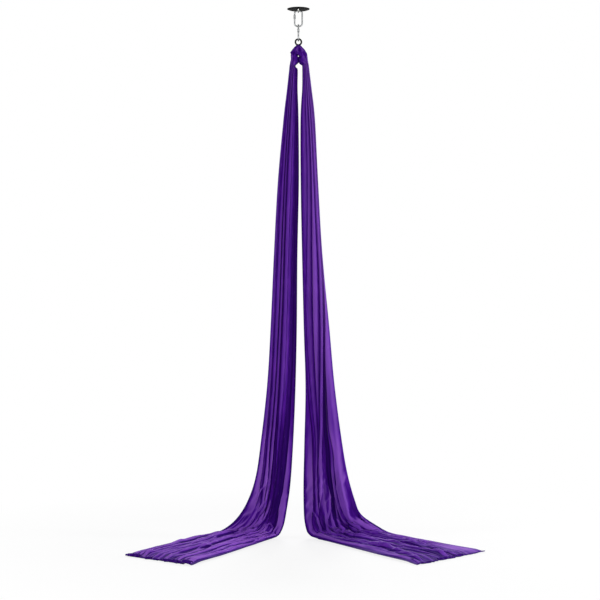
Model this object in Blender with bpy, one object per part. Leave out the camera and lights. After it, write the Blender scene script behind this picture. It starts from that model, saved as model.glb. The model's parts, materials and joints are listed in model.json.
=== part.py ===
"""Aerial silks: one length of cloth hitched to a rescue eight, hung from a round ceiling plate by two
screw-gate carabiners. The origin is the middle of the plate's ceiling face, +Z is up and the front,
towards which the tails lie on the floor, is -Y."""
import math

import bmesh
import bpy
from mathutils import Vector

MM = 0.001

# Clearances
SEAT_GAP = 0.3 * MM
CUT_OVERRUN = 1.5 * MM

# Ceiling plate
PLATE_DIAMETER = 147.0 * MM
PLATE_THICKNESS = 5.0 * MM
PLATE_RIM_HEIGHT = 1.6 * MM
PLATE_SLOPE_WIDTH = 9.0 * MM
SCREW_CIRCLE_DIAMETER = 108.0 * MM
SCREW_HOLE_DIAMETER = 6.6 * MM
SCREW_HEAD_DIAMETER = 12.4 * MM
SCREW_COUNT = 4

# Eye staple, a U of round bar in the YZ plane
EYE_BAR_DIAMETER = 9.0 * MM
EYE_INNER_WIDTH = 25.0 * MM
EYE_DROP = 26.0 * MM
EYE_RIVET_DIAMETER = 12.6 * MM
EYE_RIVET_HEIGHT = 1.9 * MM

# Carabiner, drawn in its own XZ plane with the gate at -X and the top bar's centre at the origin
LINK_ROD_DIAMETER = 10.0 * MM
LINK_LENGTH = 112.5 * MM
LINK_WIDTH = 59.0 * MM
LINK_CORNER_RADIUS = 17.0 * MM
LINK_CROWN_RADIUS = 32.0 * MM
NOSE_DEPTH = 24.0 * MM
RIVET_HEIGHT = 25.0 * MM
TONGUE_THICKNESS = 4.0 * MM
TONGUE_WIDTH = 8.4 * MM
CLAW_THICKNESS = 3.6 * MM
CLAW_WIDTH = 8.0 * MM
CLAW_LENGTH = 5.2 * MM
CLAW_NOTCH_GAP = 0.5 * MM
GATE_TIP_GAP = 0.5 * MM
LATCH_PIN_DIAMETER = 2.0 * MM
LATCH_PIN_DEPTH = 2.8 * MM
LATCH_PIN_LENGTH = 9.2 * MM
RIVET_DIAMETER = 3.2 * MM
RIVET_HEAD_DIAMETER = 4.8 * MM
RIVET_LENGTH = 9.4 * MM
SPRING_BORE_DIAMETER = 4.4 * MM
SPRING_BORE_LENGTH = 14.0 * MM
SPRING_WIRE_DIAMETER = 0.7 * MM
SPRING_TURNS = 5
PLUNGER_LENGTH = 4.0 * MM
SLEEVE_LENGTH = 21.0 * MM
SLEEVE_DIAMETER = 15.0 * MM
SLEEVE_REST_GAP = 0.8 * MM
SLEEVE_FLUTE_DEPTH = 0.45 * MM
SLEEVE_COLLAR_WIDTH = 3.2 * MM
SLEEVE_CHAMFER = 0.9 * MM
SLEEVE_FLUTES = 14

# Rescue eight, a flat forging in the XZ plane
EIGHT_LENGTH = 150.0 * MM
EIGHT_SMALL_DIAMETER = 50.0 * MM
EIGHT_BIG_DIAMETER = 86.0 * MM
EIGHT_STROKE = 11.0 * MM
EIGHT_EDGE_RADIUS = 5.0 * MM
EIGHT_NECK_WIDTH = 18.8 * MM
EIGHT_EAR_HEIGHT = 4.0 * MM
EIGHT_EAR_ANGLE = math.radians(15.0)
EIGHT_EAR_SPREAD = math.radians(11.0)

# Silks
FLOOR_DROP = 3443.0 * MM
HITCH_BELOW_EIGHT = 26.4 * MM
HITCH_WIDTH = 126.0 * MM
HITCH_DEPTH = 52.0 * MM
HITCH_NOTCH_WIDTH = 26.0 * MM
HITCH_NOTCH_HEIGHT = 20.0 * MM
HITCH_EYELET_DIAMETER = 7.0 * MM
HITCH_EYELET_RISE = 58.0 * MM
TAIL_DEPTH = 58.0 * MM
TAIL_FOLD_DEPTH = 9.0 * MM
LEFT_TAIL_SPREAD = 1050.0 * MM
LEFT_TAIL_REACH = 980.0 * MM
RIGHT_TAIL_SPREAD = 1150.0 * MM
RIGHT_TAIL_REACH = 970.0 * MM

# Each edge of a tail, from the hitch down and out over the floor, in rows of
# (sideways share of the spread, forward share of the reach, downward share of the drop to the floor)
LEFT_INNER_EDGE_SHARES = (
    (0.009, 0.0, 0.0), (0.005, 0.0, 0.05), (-0.001, 0.0, 0.1155), (-0.003, 0.0, 0.2465),
    (0.006, 0.0, 0.395), (0.010, 0.0, 0.555), (0.018, 0.0, 0.68), (0.0325, 0.0, 0.797),
    (0.052, 0.0, 0.892), (0.081, 0.0, 0.9535), (0.108, 0.003, 0.984), (0.134, 0.03, 0.994),
    (0.19, 0.133, 0.9965), (0.305, 0.393, 0.9965), (0.438, 0.694, 0.9965), (0.581, 1.0, 0.9965),
)
LEFT_OUTER_EDGE_SHARES = (
    (0.0543, 0.0, 0.0), (0.07, 0.0, 0.05), (0.093, 0.0, 0.1155), (0.1276, 0.0, 0.2465),
    (0.1514, 0.0, 0.395), (0.1724, 0.0, 0.555), (0.1933, 0.0, 0.674), (0.2286, 0.0, 0.7845),
    (0.262, 0.0, 0.866), (0.3143, 0.0, 0.921), (0.381, -0.005, 0.958), (0.462, -0.01, 0.981),
    (0.557, 0.005, 0.9915), (0.705, 0.143, 0.9955), (0.857, 0.383, 0.9965), (1.0, 0.633, 0.9965),
)
RIGHT_INNER_EDGE_SHARES = (
    (0.014, 0.0, 0.0), (0.021, 0.0, 0.05), (0.012, 0.0, 0.1155), (0.013, 0.0, 0.2465),
    (0.0205, 0.0, 0.395), (0.0305, 0.0, 0.555), (0.0405, 0.0, 0.68), (0.034, 0.0, 0.797),
    (0.029, 0.0, 0.885), (0.031, 0.0, 0.944), (0.0435, 0.0, 0.9765), (0.066, 0.01, 0.992),
    (0.117, 0.093, 0.9965), (0.287, 0.412, 0.9965), (0.4435, 0.711, 0.9965), (0.61, 1.0, 0.9965),
)
RIGHT_OUTER_EDGE_SHARES = (
    (0.059, 0.0, 0.0), (0.075, 0.0, 0.05), (0.094, 0.0, 0.1155), (0.111, 0.0, 0.2465),
    (0.134, 0.0, 0.395), (0.175, 0.0, 0.555), (0.2035, 0.0, 0.674), (0.242, 0.0, 0.786),
    (0.2765, 0.0, 0.8625), (0.3175, 0.0, 0.918), (0.352, 0.0, 0.9485), (0.435, 0.0, 0.9715),
    (0.53, 0.01, 0.989), (0.696, 0.144, 0.9955), (0.852, 0.33, 0.9965), (1.0, 0.515, 0.9965),
)
TAIL_DEPTH_SHARES = (
    0.8, 0.84, 0.88, 0.94, 1.0, 1.0, 1.0, 0.95, 0.85, 0.7, 0.55, 0.46, 0.4, 0.36, 0.34, 0.3,
)
TAIL_FOLDS = 3
TAIL_FOLD_DRIFT = 2.2
TAIL_BACK_FOLD_SHIFT = 2.0
TAIL_EDGE_EASE = 0.55
TAIL_FULLNESS_POWER = 0.6
TAIL_POINTS_A_SIDE = 12
TAIL_STEPS_A_ROW = 3

# Outline of the hitch in rows of
# (height share of the hitch, left share of its width, right share of its width, share of its depth)
HITCH_OUTLINE_SHARES = (
    (1.0, -0.125, 0.12, 0.46), (0.955, -0.18, 0.175, 0.54), (0.87, -0.25, 0.25, 0.64),
    (0.76, -0.30, 0.335, 0.74), (0.66, -0.38, 0.40, 0.84), (0.55, -0.395, 0.435, 0.92),
    (0.42, -0.385, 0.465, 1.0), (0.26, -0.38, 0.485, 1.0), (0.12, -0.425, 0.515, 0.96),
    (0.0, -0.455, 0.54, 0.9),
)
HITCH_FOLDS = 6
HITCH_FOLD_SHARE = 0.06
HITCH_FOLD_DRIFT = 5.0
HITCH_SIDE_POWER = 0.8
HITCH_FRONT_POWER = 0.7
HITCH_POINTS_A_SIDE = 12

# Counts of facets, and the angle from which an edge between two is drawn sharp
SHARP_ANGLE = math.radians(35.0)
ROD_SIDES = 12
PLATE_SIDES = 48
HOLE_SIDES = 16
SMALL_SIDES = 10
CORNER_STEPS = 5
CROWN_STEPS = 6
EYE_STEPS = 10
EDGE_STEPS = 3
SPRING_STEPS = 8
SPRING_WIRE_SIDES = 5
EIGHT_SMALL_STEPS = 9
EIGHT_NECK_STEPS = 4
EIGHT_BIG_STEPS = 20
EIGHT_SMALL_SIDES = 28
EIGHT_BIG_SIDES = 36

# Sizes of the carabiner that follow from those above, with heights below the centre of its top bar
ROD = LINK_ROD_DIAMETER / 2
LINK_SPAN = LINK_LENGTH - LINK_ROD_DIAMETER
LINK_STEP = LINK_SPAN - LINK_ROD_DIAMETER - SEAT_GAP
GATE_X = (LINK_ROD_DIAMETER - LINK_WIDTH) / 2
RIVET_Z = RIVET_HEIGHT - LINK_SPAN
HINGE_END_Z = RIVET_Z - ROD - SEAT_GAP
CLAW_END_Z = -NOSE_DEPTH - CLAW_LENGTH
LATCH_PIN_Z = -NOSE_DEPTH - LATCH_PIN_DEPTH
GATE_TIP_Z = -NOSE_DEPTH - GATE_TIP_GAP
FORK_TOP_Z = RIVET_Z + TONGUE_WIDTH / 2 + SEAT_GAP * 2

# Heights that the chain hangs by, each worked out from the piece above
EYE_SEAT_Z = EYE_BAR_DIAMETER - EYE_DROP
UPPER_LINK_Z = EYE_SEAT_Z + SEAT_GAP + ROD
LOWER_LINK_Z = UPPER_LINK_Z - LINK_STEP
EIGHT_SEAT_Z = LOWER_LINK_Z - LINK_SPAN + ROD + SEAT_GAP
EIGHT_TOP_BAR_Z = EIGHT_SEAT_Z + EIGHT_STROKE / 2
EIGHT_TOP_Z = EIGHT_SEAT_Z + EIGHT_STROKE
EIGHT_SMALL_Z = EIGHT_TOP_Z - EIGHT_SMALL_DIAMETER / 2
EIGHT_BIG_Z = EIGHT_TOP_Z - EIGHT_LENGTH + EIGHT_BIG_DIAMETER / 2
HITCH_TOP_Z = EIGHT_TOP_Z - EIGHT_SMALL_DIAMETER
HITCH_BASE_Z = EIGHT_TOP_Z - EIGHT_LENGTH - HITCH_BELOW_EIGHT


def clear_scene():
    """Removes every object that the scene starts with."""
    for item in list(bpy.data.objects):
        bpy.data.objects.remove(item, do_unlink=True)


def make_material(name, colour, metallic, roughness):
    """One plain finish."""
    material = bpy.data.materials.new(name)
    material.use_nodes = True
    shader = material.node_tree.nodes["Principled BSDF"]
    shader.inputs["Base Color"].default_value = (*colour, 1.0)
    shader.inputs["Metallic"].default_value = metallic
    shader.inputs["Roughness"].default_value = roughness
    return material


def add_object(name, work, material, origin=Vector(), parent=None):
    """Makes an object from a bmesh, with its own origin moved to a point of the mesh's frame."""
    bmesh.ops.translate(work, verts=work.verts, vec=-origin)
    bmesh.ops.recalc_face_normals(work, faces=work.faces)
    mesh = bpy.data.meshes.new(name)
    work.to_mesh(mesh)
    work.free()
    mesh.shade_smooth()
    mesh.set_sharp_from_angle(angle=SHARP_ANGLE)
    if material:
        mesh.materials.append(material)
    item = bpy.data.objects.new(name, mesh)
    item.location = origin
    item.parent = parent
    bpy.context.collection.objects.link(item)
    return item


def add_empty(name, height, turn=0.0, parent=None):
    """A pivot that the pieces of one body hang from."""
    item = bpy.data.objects.new(name, None)
    item.location = (0.0, 0.0, height)
    item.rotation_euler = (0.0, 0.0, turn)
    item.parent = parent
    bpy.context.collection.objects.link(item)
    return item


def add_boolean(item, tool, operation="DIFFERENCE"):
    """Cuts or joins a helper solid, which stays out of the part itself."""
    tool.hide_render = True
    tool.display_type = "WIRE"
    tool.parent = item.parent
    modifier = item.modifiers.new(tool.name, "BOOLEAN")
    modifier.operation = operation
    modifier.solver = "EXACT"
    modifier.object = tool


def loft(rings, closed=False):
    """Skins a list of rings of points that all have the same count, and caps the ends of an open one."""
    work = bmesh.new()
    rows = [[work.verts.new(point) for point in ring] for ring in rings]
    count = len(rows[0])
    pairs = list(zip(rows, rows[1:]))
    if closed:
        pairs.append((rows[-1], rows[0]))
    for first, second in pairs:
        for i in range(count):
            j = (i + 1) % count
            work.faces.new((first[i], first[j], second[j], second[i]))
    if not closed:
        work.faces.new(rows[0][::-1])
        work.faces.new(rows[-1])
    return work


def circle(radius, sides, centre, across, up):
    """Points round a circle in the plane of two unit vectors."""
    points = []
    for i in range(sides):
        angle = math.tau * (i + 0.5) / sides
        points.append(centre + across * (radius * math.cos(angle)) + up * (radius * math.sin(angle)))
    return points


def sweep(path, radii, normal, sides=ROD_SIDES):
    """A round bar along a path that lies in the plane with this normal."""
    rings = []
    for i, point in enumerate(path):
        ahead = path[min(i + 1, len(path) - 1)] - path[max(i - 1, 0)]
        across = ahead.normalized().cross(normal)
        rings.append(circle(radii[i], sides, point, across, normal))
    return loft(rings)


def turned(profile, sides, axis, across, centre=Vector()):
    """Turns a profile of (radius, distance along the axis) into a solid of revolution."""
    up = axis.cross(across)
    return loft([circle(radius, sides, centre + axis * along, across, up) for radius, along in profile])


def plain_bar(radius, start, end, sides=HOLE_SIDES):
    """A straight round bar between two points."""
    axis = (end - start).normalized()
    across = axis.orthogonal().normalized()
    return turned([(radius, 0.0), (radius, (end - start).length)], sides, axis, across, start)


def slab(outline, thickness):
    """A flat plate of an outline in the XZ plane, centred on Y."""
    half = thickness / 2
    front = [Vector((x, -half, z)) for x, z in outline]
    back = [Vector((x, half, z)) for x, z in outline]
    return loft([front, back])


def arc(centre, radius, start, end, steps):
    """Points along an arc in the XZ plane, as (x, z), with angles from +X towards +Z."""
    points = []
    for i in range(steps + 1):
        angle = start + (end - start) * i / steps
        points.append((centre[0] + radius * math.cos(angle), centre[1] + radius * math.sin(angle)))
    return points


def build_ceiling_mount(black, bright):
    """The ceiling plate and the eye staple riveted in it."""
    rim = PLATE_DIAMETER / 2
    profile = [
        (rim - PLATE_SLOPE_WIDTH, -PLATE_THICKNESS),
        (rim, -PLATE_RIM_HEIGHT),
        (rim, 0.0),
    ]
    disc = turned(profile, PLATE_SIDES, Vector((0, 0, 1)), Vector((1, 0, 0)))
    plate = add_object("ceiling_plate", disc, black)
    head_depth = (SCREW_HEAD_DIAMETER - SCREW_HOLE_DIAMETER) / 2
    for i in range(SCREW_COUNT):
        angle = math.tau * (i + 0.5) / SCREW_COUNT
        reach = SCREW_CIRCLE_DIAMETER / 2
        centre = Vector((reach * math.cos(angle), reach * math.sin(angle), 0.0))
        profile = [
            (SCREW_HEAD_DIAMETER / 2 + CUT_OVERRUN, -PLATE_THICKNESS - CUT_OVERRUN),
            (SCREW_HOLE_DIAMETER / 2, head_depth - PLATE_THICKNESS),
            (SCREW_HOLE_DIAMETER / 2, CUT_OVERRUN),
        ]
        hole = turned(profile, HOLE_SIDES, Vector((0, 0, 1)), Vector((1, 0, 0)), centre)
        add_boolean(plate, add_object(f"screw_hole_{i + 1}", hole, None))

    bar = EYE_BAR_DIAMETER / 2
    bend = EYE_INNER_WIDTH / 2 + bar
    bend_z = bar + bend - EYE_DROP
    path = [(bend, -SEAT_GAP), (bend, -EYE_RIVET_HEIGHT)]
    path += arc((0.0, bend_z), bend, 0.0, -math.pi, EYE_STEPS)
    path += [(-bend, -EYE_RIVET_HEIGHT), (-bend, -SEAT_GAP)]
    points = [Vector((0.0, y, z)) for y, z in path]
    radii = [bar] * len(points)
    radii[0] = radii[-1] = EYE_RIVET_DIAMETER / 2
    add_object("eye_staple", sweep(points, radii, Vector((1, 0, 0))), bright)
    for name, side in (("back", 1.0), ("front", -1.0)):
        centre = Vector((0.0, side * bend, 0.0))
        profile = [
            (bar + SEAT_GAP, -PLATE_THICKNESS - CUT_OVERRUN),
            (bar + SEAT_GAP, -EYE_RIVET_HEIGHT - SEAT_GAP),
            (EYE_RIVET_DIAMETER / 2 + SEAT_GAP, -SEAT_GAP),
            (EYE_RIVET_DIAMETER / 2 + SEAT_GAP, CUT_OVERRUN),
        ]
        hole = turned(profile, HOLE_SIDES, Vector((0, 0, 1)), Vector((1, 0, 0)), centre)
        add_boolean(plate, add_object(f"{name}_leg_hole", hole, None))


def rectangle(left, right, low, high):
    """The outline of a block as (x, z) corners."""
    return [(left, low), (right, low), (right, high), (left, high)]


def link_centreline():
    """The bent rod's centre, from the hinge end round the bottom, up the spine and over to the nose."""
    corner_x = -GATE_X - LINK_CORNER_RADIUS
    crown_gap = LINK_CROWN_RADIUS - LINK_CORNER_RADIUS
    corner_z = math.sqrt(crown_gap ** 2 - corner_x ** 2) - LINK_CROWN_RADIUS
    lean = math.asin(corner_x / crown_gap)
    top = math.pi / 2
    upper = arc((corner_x, corner_z), LINK_CORNER_RADIUS, 0.0, top - lean, CORNER_STEPS)
    upper += arc((0.0, -LINK_CROWN_RADIUS), LINK_CROWN_RADIUS, top - lean, top + lean, CROWN_STEPS)[1:]
    upper += arc((-corner_x, corner_z), LINK_CORNER_RADIUS, top + lean, math.pi, CORNER_STEPS)[1:]
    lower = [(-x, -LINK_SPAN - z) for x, z in upper]
    path = [(GATE_X, HINGE_END_Z)] + lower + upper + [(GATE_X, -NOSE_DEPTH)]
    return [Vector((x, 0.0, z)) for x, z in path]


def build_carabiner(prefix, height, turn, parent, steel, dark_steel):
    """One screw-gate carabiner, hung by its top bar, with its lock sleeve backed off."""
    pivot = add_empty(f"{prefix}_carabiner_pivot", height, turn, parent)
    path = link_centreline()
    bar = sweep(path, [ROD] * len(path), Vector((0, 1, 0)))
    body = add_object(f"{prefix}_carabiner_body", bar, steel, parent=pivot)

    side = TONGUE_WIDTH / 2
    tongue = arc((GATE_X, RIVET_Z), side, 0.0, math.pi, CORNER_STEPS * 2)
    tongue += [(GATE_X - side, HINGE_END_Z - ROD / 2), (GATE_X + side, HINGE_END_Z - ROD / 2)]
    add_boolean(body, add_object(f"{prefix}_hinge_tongue", slab(tongue, TONGUE_THICKNESS), None), "UNION")
    side = CLAW_WIDTH / 2
    claw = rectangle(GATE_X - side, GATE_X + side, CLAW_END_Z, ROD - NOSE_DEPTH)
    add_boolean(body, add_object(f"{prefix}_nose_claw", slab(claw, CLAW_THICKNESS), None), "UNION")

    radius = LATCH_PIN_DIAMETER / 2 + CLAW_NOTCH_GAP
    mouth_x = GATE_X + side + CUT_OVERRUN
    notch = arc((GATE_X, LATCH_PIN_Z), radius, math.pi / 2, math.pi * 3 / 2, CORNER_STEPS)
    notch += [(mouth_x, LATCH_PIN_Z - radius), (mouth_x, LATCH_PIN_Z + radius)]
    add_boolean(body, add_object(f"{prefix}_claw_notch", slab(notch, CLAW_THICKNESS + CUT_OVERRUN), None))
    rivet_point = Vector((GATE_X, 0.0, RIVET_Z))
    add_boolean(body, add_object(f"{prefix}_tongue_hole", rivet_solid(rivet_point, SEAT_GAP), None))
    add_object(f"{prefix}_gate_rivet", rivet_solid(rivet_point, 0.0), steel, rivet_point, pivot)

    build_gate(prefix, pivot, rivet_point, steel)
    build_gate_insides(prefix, pivot, rivet_point, steel, dark_steel)
    sleeve = build_sleeve(Vector((GATE_X, 0.0, CLAW_END_Z - SLEEVE_REST_GAP)))
    add_object(f"{prefix}_lock_sleeve", sleeve, steel, rivet_point, pivot)
    return pivot


def rivet_solid(centre, clearance):
    """The hinge rivet, flared at both ends, or the hole that it sits in."""
    face = RIVET_LENGTH / 2
    end = face + (CUT_OVERRUN if clearance else 0.0)
    shank = RIVET_DIAMETER / 2 + clearance
    head = RIVET_HEAD_DIAMETER / 2 + clearance
    flare = face - (RIVET_HEAD_DIAMETER - RIVET_DIAMETER) / 2
    profile = [(head, -face), (shank, -flare), (shank, flare), (head, face)]
    if clearance:
        profile = [(head, -end)] + profile + [(head, end)]
    return turned(profile, SMALL_SIDES, Vector((0, 1, 0)), Vector((1, 0, 0)), centre)


def build_gate(prefix, pivot, rivet_point, steel):
    """The gate: a bar with a round heel, a hinge fork, a mouth for the claw and a bore for its spring."""
    centre = Vector((GATE_X, 0.0, 0.0))
    up = Vector((0, 0, 1))
    reach = ROD + CUT_OVERRUN
    profile = [
        (ROD, RIVET_Z - reach),
        (ROD, GATE_TIP_Z - SLEEVE_CHAMFER),
        (ROD - SLEEVE_CHAMFER, GATE_TIP_Z),
    ]
    bar = turned(profile, ROD_SIDES, up, Vector((1, 0, 0)), centre)
    gate = add_object(f"{prefix}_gate", bar, steel, rivet_point, pivot)

    heel = [(GATE_X - reach, RIVET_Z)] + arc((GATE_X, RIVET_Z), ROD, math.pi, math.tau, CORNER_STEPS * 2)
    heel += [
        (GATE_X + reach, RIVET_Z), (GATE_X + reach, GATE_TIP_Z + reach),
        (GATE_X - reach, GATE_TIP_Z + reach),
    ]
    heel_slab = slab(heel, LINK_ROD_DIAMETER + CUT_OVERRUN)
    add_boolean(gate, add_object(f"{prefix}_gate_heel", heel_slab, None), "INTERSECT")

    fork = rectangle(GATE_X - reach, GATE_X + reach, RIVET_Z - reach, FORK_TOP_Z)
    fork_slab = slab(fork, TONGUE_THICKNESS + SEAT_GAP * 2)
    add_boolean(gate, add_object(f"{prefix}_gate_fork", fork_slab, None))
    mouth = rectangle(GATE_X - reach, GATE_X + reach, CLAW_END_Z - SEAT_GAP * 2, GATE_TIP_Z + reach)
    mouth_slab = slab(mouth, CLAW_THICKNESS + SEAT_GAP * 2)
    add_boolean(gate, add_object(f"{prefix}_gate_mouth", mouth_slab, None))
    add_boolean(gate, add_object(f"{prefix}_rivet_hole", rivet_solid(rivet_point, SEAT_GAP), None))

    pin_point = Vector((GATE_X, 0.0, LATCH_PIN_Z))
    over = Vector((0.0, reach, 0.0))
    hole = plain_bar(LATCH_PIN_DIAMETER / 2 + SEAT_GAP, pin_point - over, pin_point + over, SMALL_SIDES)
    add_boolean(gate, add_object(f"{prefix}_pin_hole", hole, None))
    bore_low = centre + up * (FORK_TOP_Z - CUT_OVERRUN)
    bore_high = centre + up * (FORK_TOP_Z + SPRING_BORE_LENGTH)
    bore = plain_bar(SPRING_BORE_DIAMETER / 2, bore_low, bore_high, ROD_SIDES)
    add_boolean(gate, add_object(f"{prefix}_spring_bore", bore, None))


def build_gate_insides(prefix, pivot, rivet_point, steel, dark_steel):
    """The latch pin, and the plunger and spring in the gate's bore."""
    pin_point = Vector((GATE_X, 0.0, LATCH_PIN_Z))
    pin_reach = Vector((0.0, LATCH_PIN_LENGTH / 2, 0.0))
    pin = plain_bar(LATCH_PIN_DIAMETER / 2, pin_point - pin_reach, pin_point + pin_reach, SMALL_SIDES)
    add_object(f"{prefix}_latch_pin", pin, dark_steel, rivet_point, pivot)

    tip_z = FORK_TOP_Z - SEAT_GAP
    radius = SPRING_BORE_DIAMETER / 2 - SEAT_GAP
    profile = [(radius / 2, 0.0), (radius, radius / 2), (radius, PLUNGER_LENGTH)]
    plunger_tip = Vector((GATE_X, 0.0, tip_z))
    plunger = turned(profile, SMALL_SIDES, Vector((0, 0, 1)), Vector((1, 0, 0)), plunger_tip)
    add_object(f"{prefix}_gate_plunger", plunger, dark_steel, rivet_point, pivot)

    wire = SPRING_WIRE_DIAMETER / 2
    base = Vector((GATE_X, 0.0, tip_z + PLUNGER_LENGTH + SEAT_GAP + wire))
    rise = FORK_TOP_Z + SPRING_BORE_LENGTH - SEAT_GAP - wire - base.z
    spring = build_spring(base, radius - wire, rise, wire)
    add_object(f"{prefix}_gate_spring", spring, steel, rivet_point, pivot)


def build_spring(base, radius, rise, wire):
    """A coil spring as one helical tube. It prints the least gap between its turns."""
    path = []
    count = SPRING_TURNS * SPRING_STEPS
    for i in range(count + 1):
        angle = math.tau * i / SPRING_STEPS
        path.append(base + Vector((radius * math.cos(angle), radius * math.sin(angle), rise * i / count)))
    rings = []
    for i, point in enumerate(path):
        ahead = (path[min(i + 1, count)] - path[max(i - 1, 0)]).normalized()
        outward = Vector((point.x - base.x, point.y - base.y, 0.0)).normalized()
        rings.append(circle(wire, SPRING_WIRE_SIDES, point, outward, ahead.cross(outward)))
    apart = range(SPRING_STEPS // 2, count)
    least = min((path[i] - path[i + k]).length for k in apart for i in range(count + 1 - k))
    print(f"least gap between the spring's turns: {(least - 2 * wire) / MM:.2f} mm")
    return loft(rings)


def build_sleeve(top):
    """The lock sleeve: a fluted grip between two plain collars, open right through."""
    bore = ROD + SEAT_GAP
    outer = SLEEVE_DIAMETER / 2
    grip = outer - SLEEVE_FLUTE_DEPTH
    levels = [
        (outer - SLEEVE_CHAMFER, 0.0, 0.0), (outer, SLEEVE_CHAMFER, 0.0),
        (outer, SLEEVE_COLLAR_WIDTH, 0.0), (grip, SLEEVE_COLLAR_WIDTH, 1.0),
        (grip, SLEEVE_LENGTH - SLEEVE_COLLAR_WIDTH, 1.0), (outer, SLEEVE_LENGTH - SLEEVE_COLLAR_WIDTH, 0.0),
        (outer, SLEEVE_LENGTH - SLEEVE_CHAMFER, 0.0), (outer - SLEEVE_CHAMFER, SLEEVE_LENGTH, 0.0),
        (bore, SLEEVE_LENGTH, 0.0), (bore, 0.0, 0.0),
    ]
    rings = []
    sides = SLEEVE_FLUTES * 2
    for radius, depth, fluted in levels:
        ring = []
        for i in range(sides):
            angle = math.tau * i / sides
            reach = radius - fluted * SLEEVE_FLUTE_DEPTH * (i % 2)
            ring.append(top + Vector((reach * math.cos(angle), reach * math.sin(angle), -depth)))
        rings.append(ring)
    return loft(rings, closed=True)


def neck_fillet(small, big, span):
    """Radius of the fillet that touches both rings and leaves the neck its width. Where the rings lie too
    close for that, it is the rounding of the eight's edges."""
    neck = EIGHT_NECK_WIDTH / 2
    chord = (span ** 2 + small ** 2 - big ** 2) / (2 * span)
    slope = (big - small) / span
    half = chord * slope + small - neck
    spare = chord ** 2 - small ** 2 + neck ** 2
    if spare <= 0.0:
        return EIGHT_EDGE_RADIUS
    return max(spare / (half + math.sqrt(half ** 2 - slope ** 2 * spare)), EIGHT_EDGE_RADIUS)


def eight_outline():
    """Half of the eight's outer contour, from the top of the small ring to the bottom of the big one."""
    small = EIGHT_SMALL_DIAMETER / 2
    big = EIGHT_BIG_DIAMETER / 2
    span = EIGHT_SMALL_Z - EIGHT_BIG_Z
    neck = neck_fillet(small, big, span)
    to_small = small + neck
    to_big = big + neck
    lean = math.acos((to_small ** 2 + span ** 2 - to_big ** 2) / (2 * to_small * span))
    fillet = (to_small * math.sin(lean), EIGHT_SMALL_Z - to_small * math.cos(lean))
    to_centre = math.atan2(fillet[1] - EIGHT_BIG_Z, fillet[0])
    top = math.pi / 2
    points = arc((0.0, EIGHT_SMALL_Z), small, top, lean - top, EIGHT_SMALL_STEPS)
    points += arc(fillet, neck, lean + top, math.pi + to_centre, EIGHT_NECK_STEPS)[1:]
    for x, z in arc((0.0, EIGHT_BIG_Z), big, to_centre, -top, EIGHT_BIG_STEPS)[1:]:
        angle = math.atan2(z - EIGHT_BIG_Z, x)
        swell = math.exp(-(((angle - EIGHT_EAR_ANGLE) / EIGHT_EAR_SPREAD) ** 2))
        scale = 1.0 + EIGHT_EAR_HEIGHT * swell / big
        points.append((x * scale, EIGHT_BIG_Z + (z - EIGHT_BIG_Z) * scale))
    return points


def offset_loop(points, distance):
    """Moves a closed anticlockwise outline inwards by a distance, or outwards where it is negative."""
    moved = []
    count = len(points)
    for i, (x, z) in enumerate(points):
        before, after = points[i - 1], points[(i + 1) % count]
        along = Vector((after[0] - before[0], after[1] - before[1])).normalized()
        moved.append((x - along.y * distance, z + along.x * distance))
    return moved


def full_eight_outline():
    """The whole outer contour, anticlockwise seen with +X to the right and +Z up."""
    right = eight_outline()
    left = [(-x, z) for x, z in right[1:-1]]
    return left + right[::-1]


def rounded_edge_rings(outline, half_thickness, edge_radius):
    """Copies of an outline from the front face's edge round the rim to the back face's edge."""
    rings = []
    for side in (-1.0, 1.0):
        steps = range(EDGE_STEPS, -1, -1) if side < 0 else range(EDGE_STEPS + 1)
        for step in steps:
            angle = math.pi / 2 * step / EDGE_STEPS
            inset = edge_radius * (1.0 - math.cos(angle))
            y = side * (half_thickness - edge_radius * (1.0 - math.sin(angle)))
            rings.append([Vector((px, y, pz)) for px, pz in offset_loop(outline, inset)])
    return rings


def eight_solid(clearance):
    """Both rings, the neck and the two ears with rounded edges, or the room that they need in the cloth."""
    hole_small = EIGHT_SMALL_DIAMETER / 2 - EIGHT_STROKE
    hole_big = EIGHT_BIG_DIAMETER / 2 - EIGHT_STROKE
    contours = [full_eight_outline()]
    contours.append(arc((0.0, EIGHT_SMALL_Z), hole_small, math.tau, 0.0, EIGHT_SMALL_SIDES)[:-1])
    contours.append(arc((0.0, EIGHT_BIG_Z), hole_big, math.tau, 0.0, EIGHT_BIG_SIDES)[:-1])
    work = bmesh.new()
    rims = {0: [], -1: []}
    for contour in contours:
        outline = offset_loop(contour, -clearance)
        rings = rounded_edge_rings(outline, EIGHT_STROKE / 2 + clearance, EIGHT_EDGE_RADIUS)
        rows = [[work.verts.new(point) for point in ring] for ring in rings]
        for first, second in zip(rows, rows[1:]):
            for i in range(len(first)):
                j = (i + 1) % len(first)
                work.faces.new((first[i], first[j], second[j], second[i]))
        for end, edges in rims.items():
            row = rows[end]
            edges.extend(work.edges.get((row[i - 1], row[i])) for i in range(len(row)))
    for edges in rims.values():
        bmesh.ops.triangle_fill(work, edges=edges, use_beauty=True)
    return work


def smooth_curve(points, steps):
    """A smooth curve through the points, with this many steps between neighbours."""
    curve = []
    for i in range(len(points) - 1):
        before = points[max(i - 1, 0)]
        after = points[min(i + 2, len(points) - 1)]
        start, end = points[i], points[i + 1]
        for step in range(steps):
            t = step / steps
            lead = (end - before) * 0.5
            trail = (after - start) * 0.5
            curve.append(
                start * (2 * t ** 3 - 3 * t ** 2 + 1) + lead * (t ** 3 - 2 * t ** 2 + t)
                + end * (3 * t ** 2 - 2 * t ** 3) + trail * (t ** 3 - t ** 2)
            )
    curve.append(points[-1])
    return curve


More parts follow.
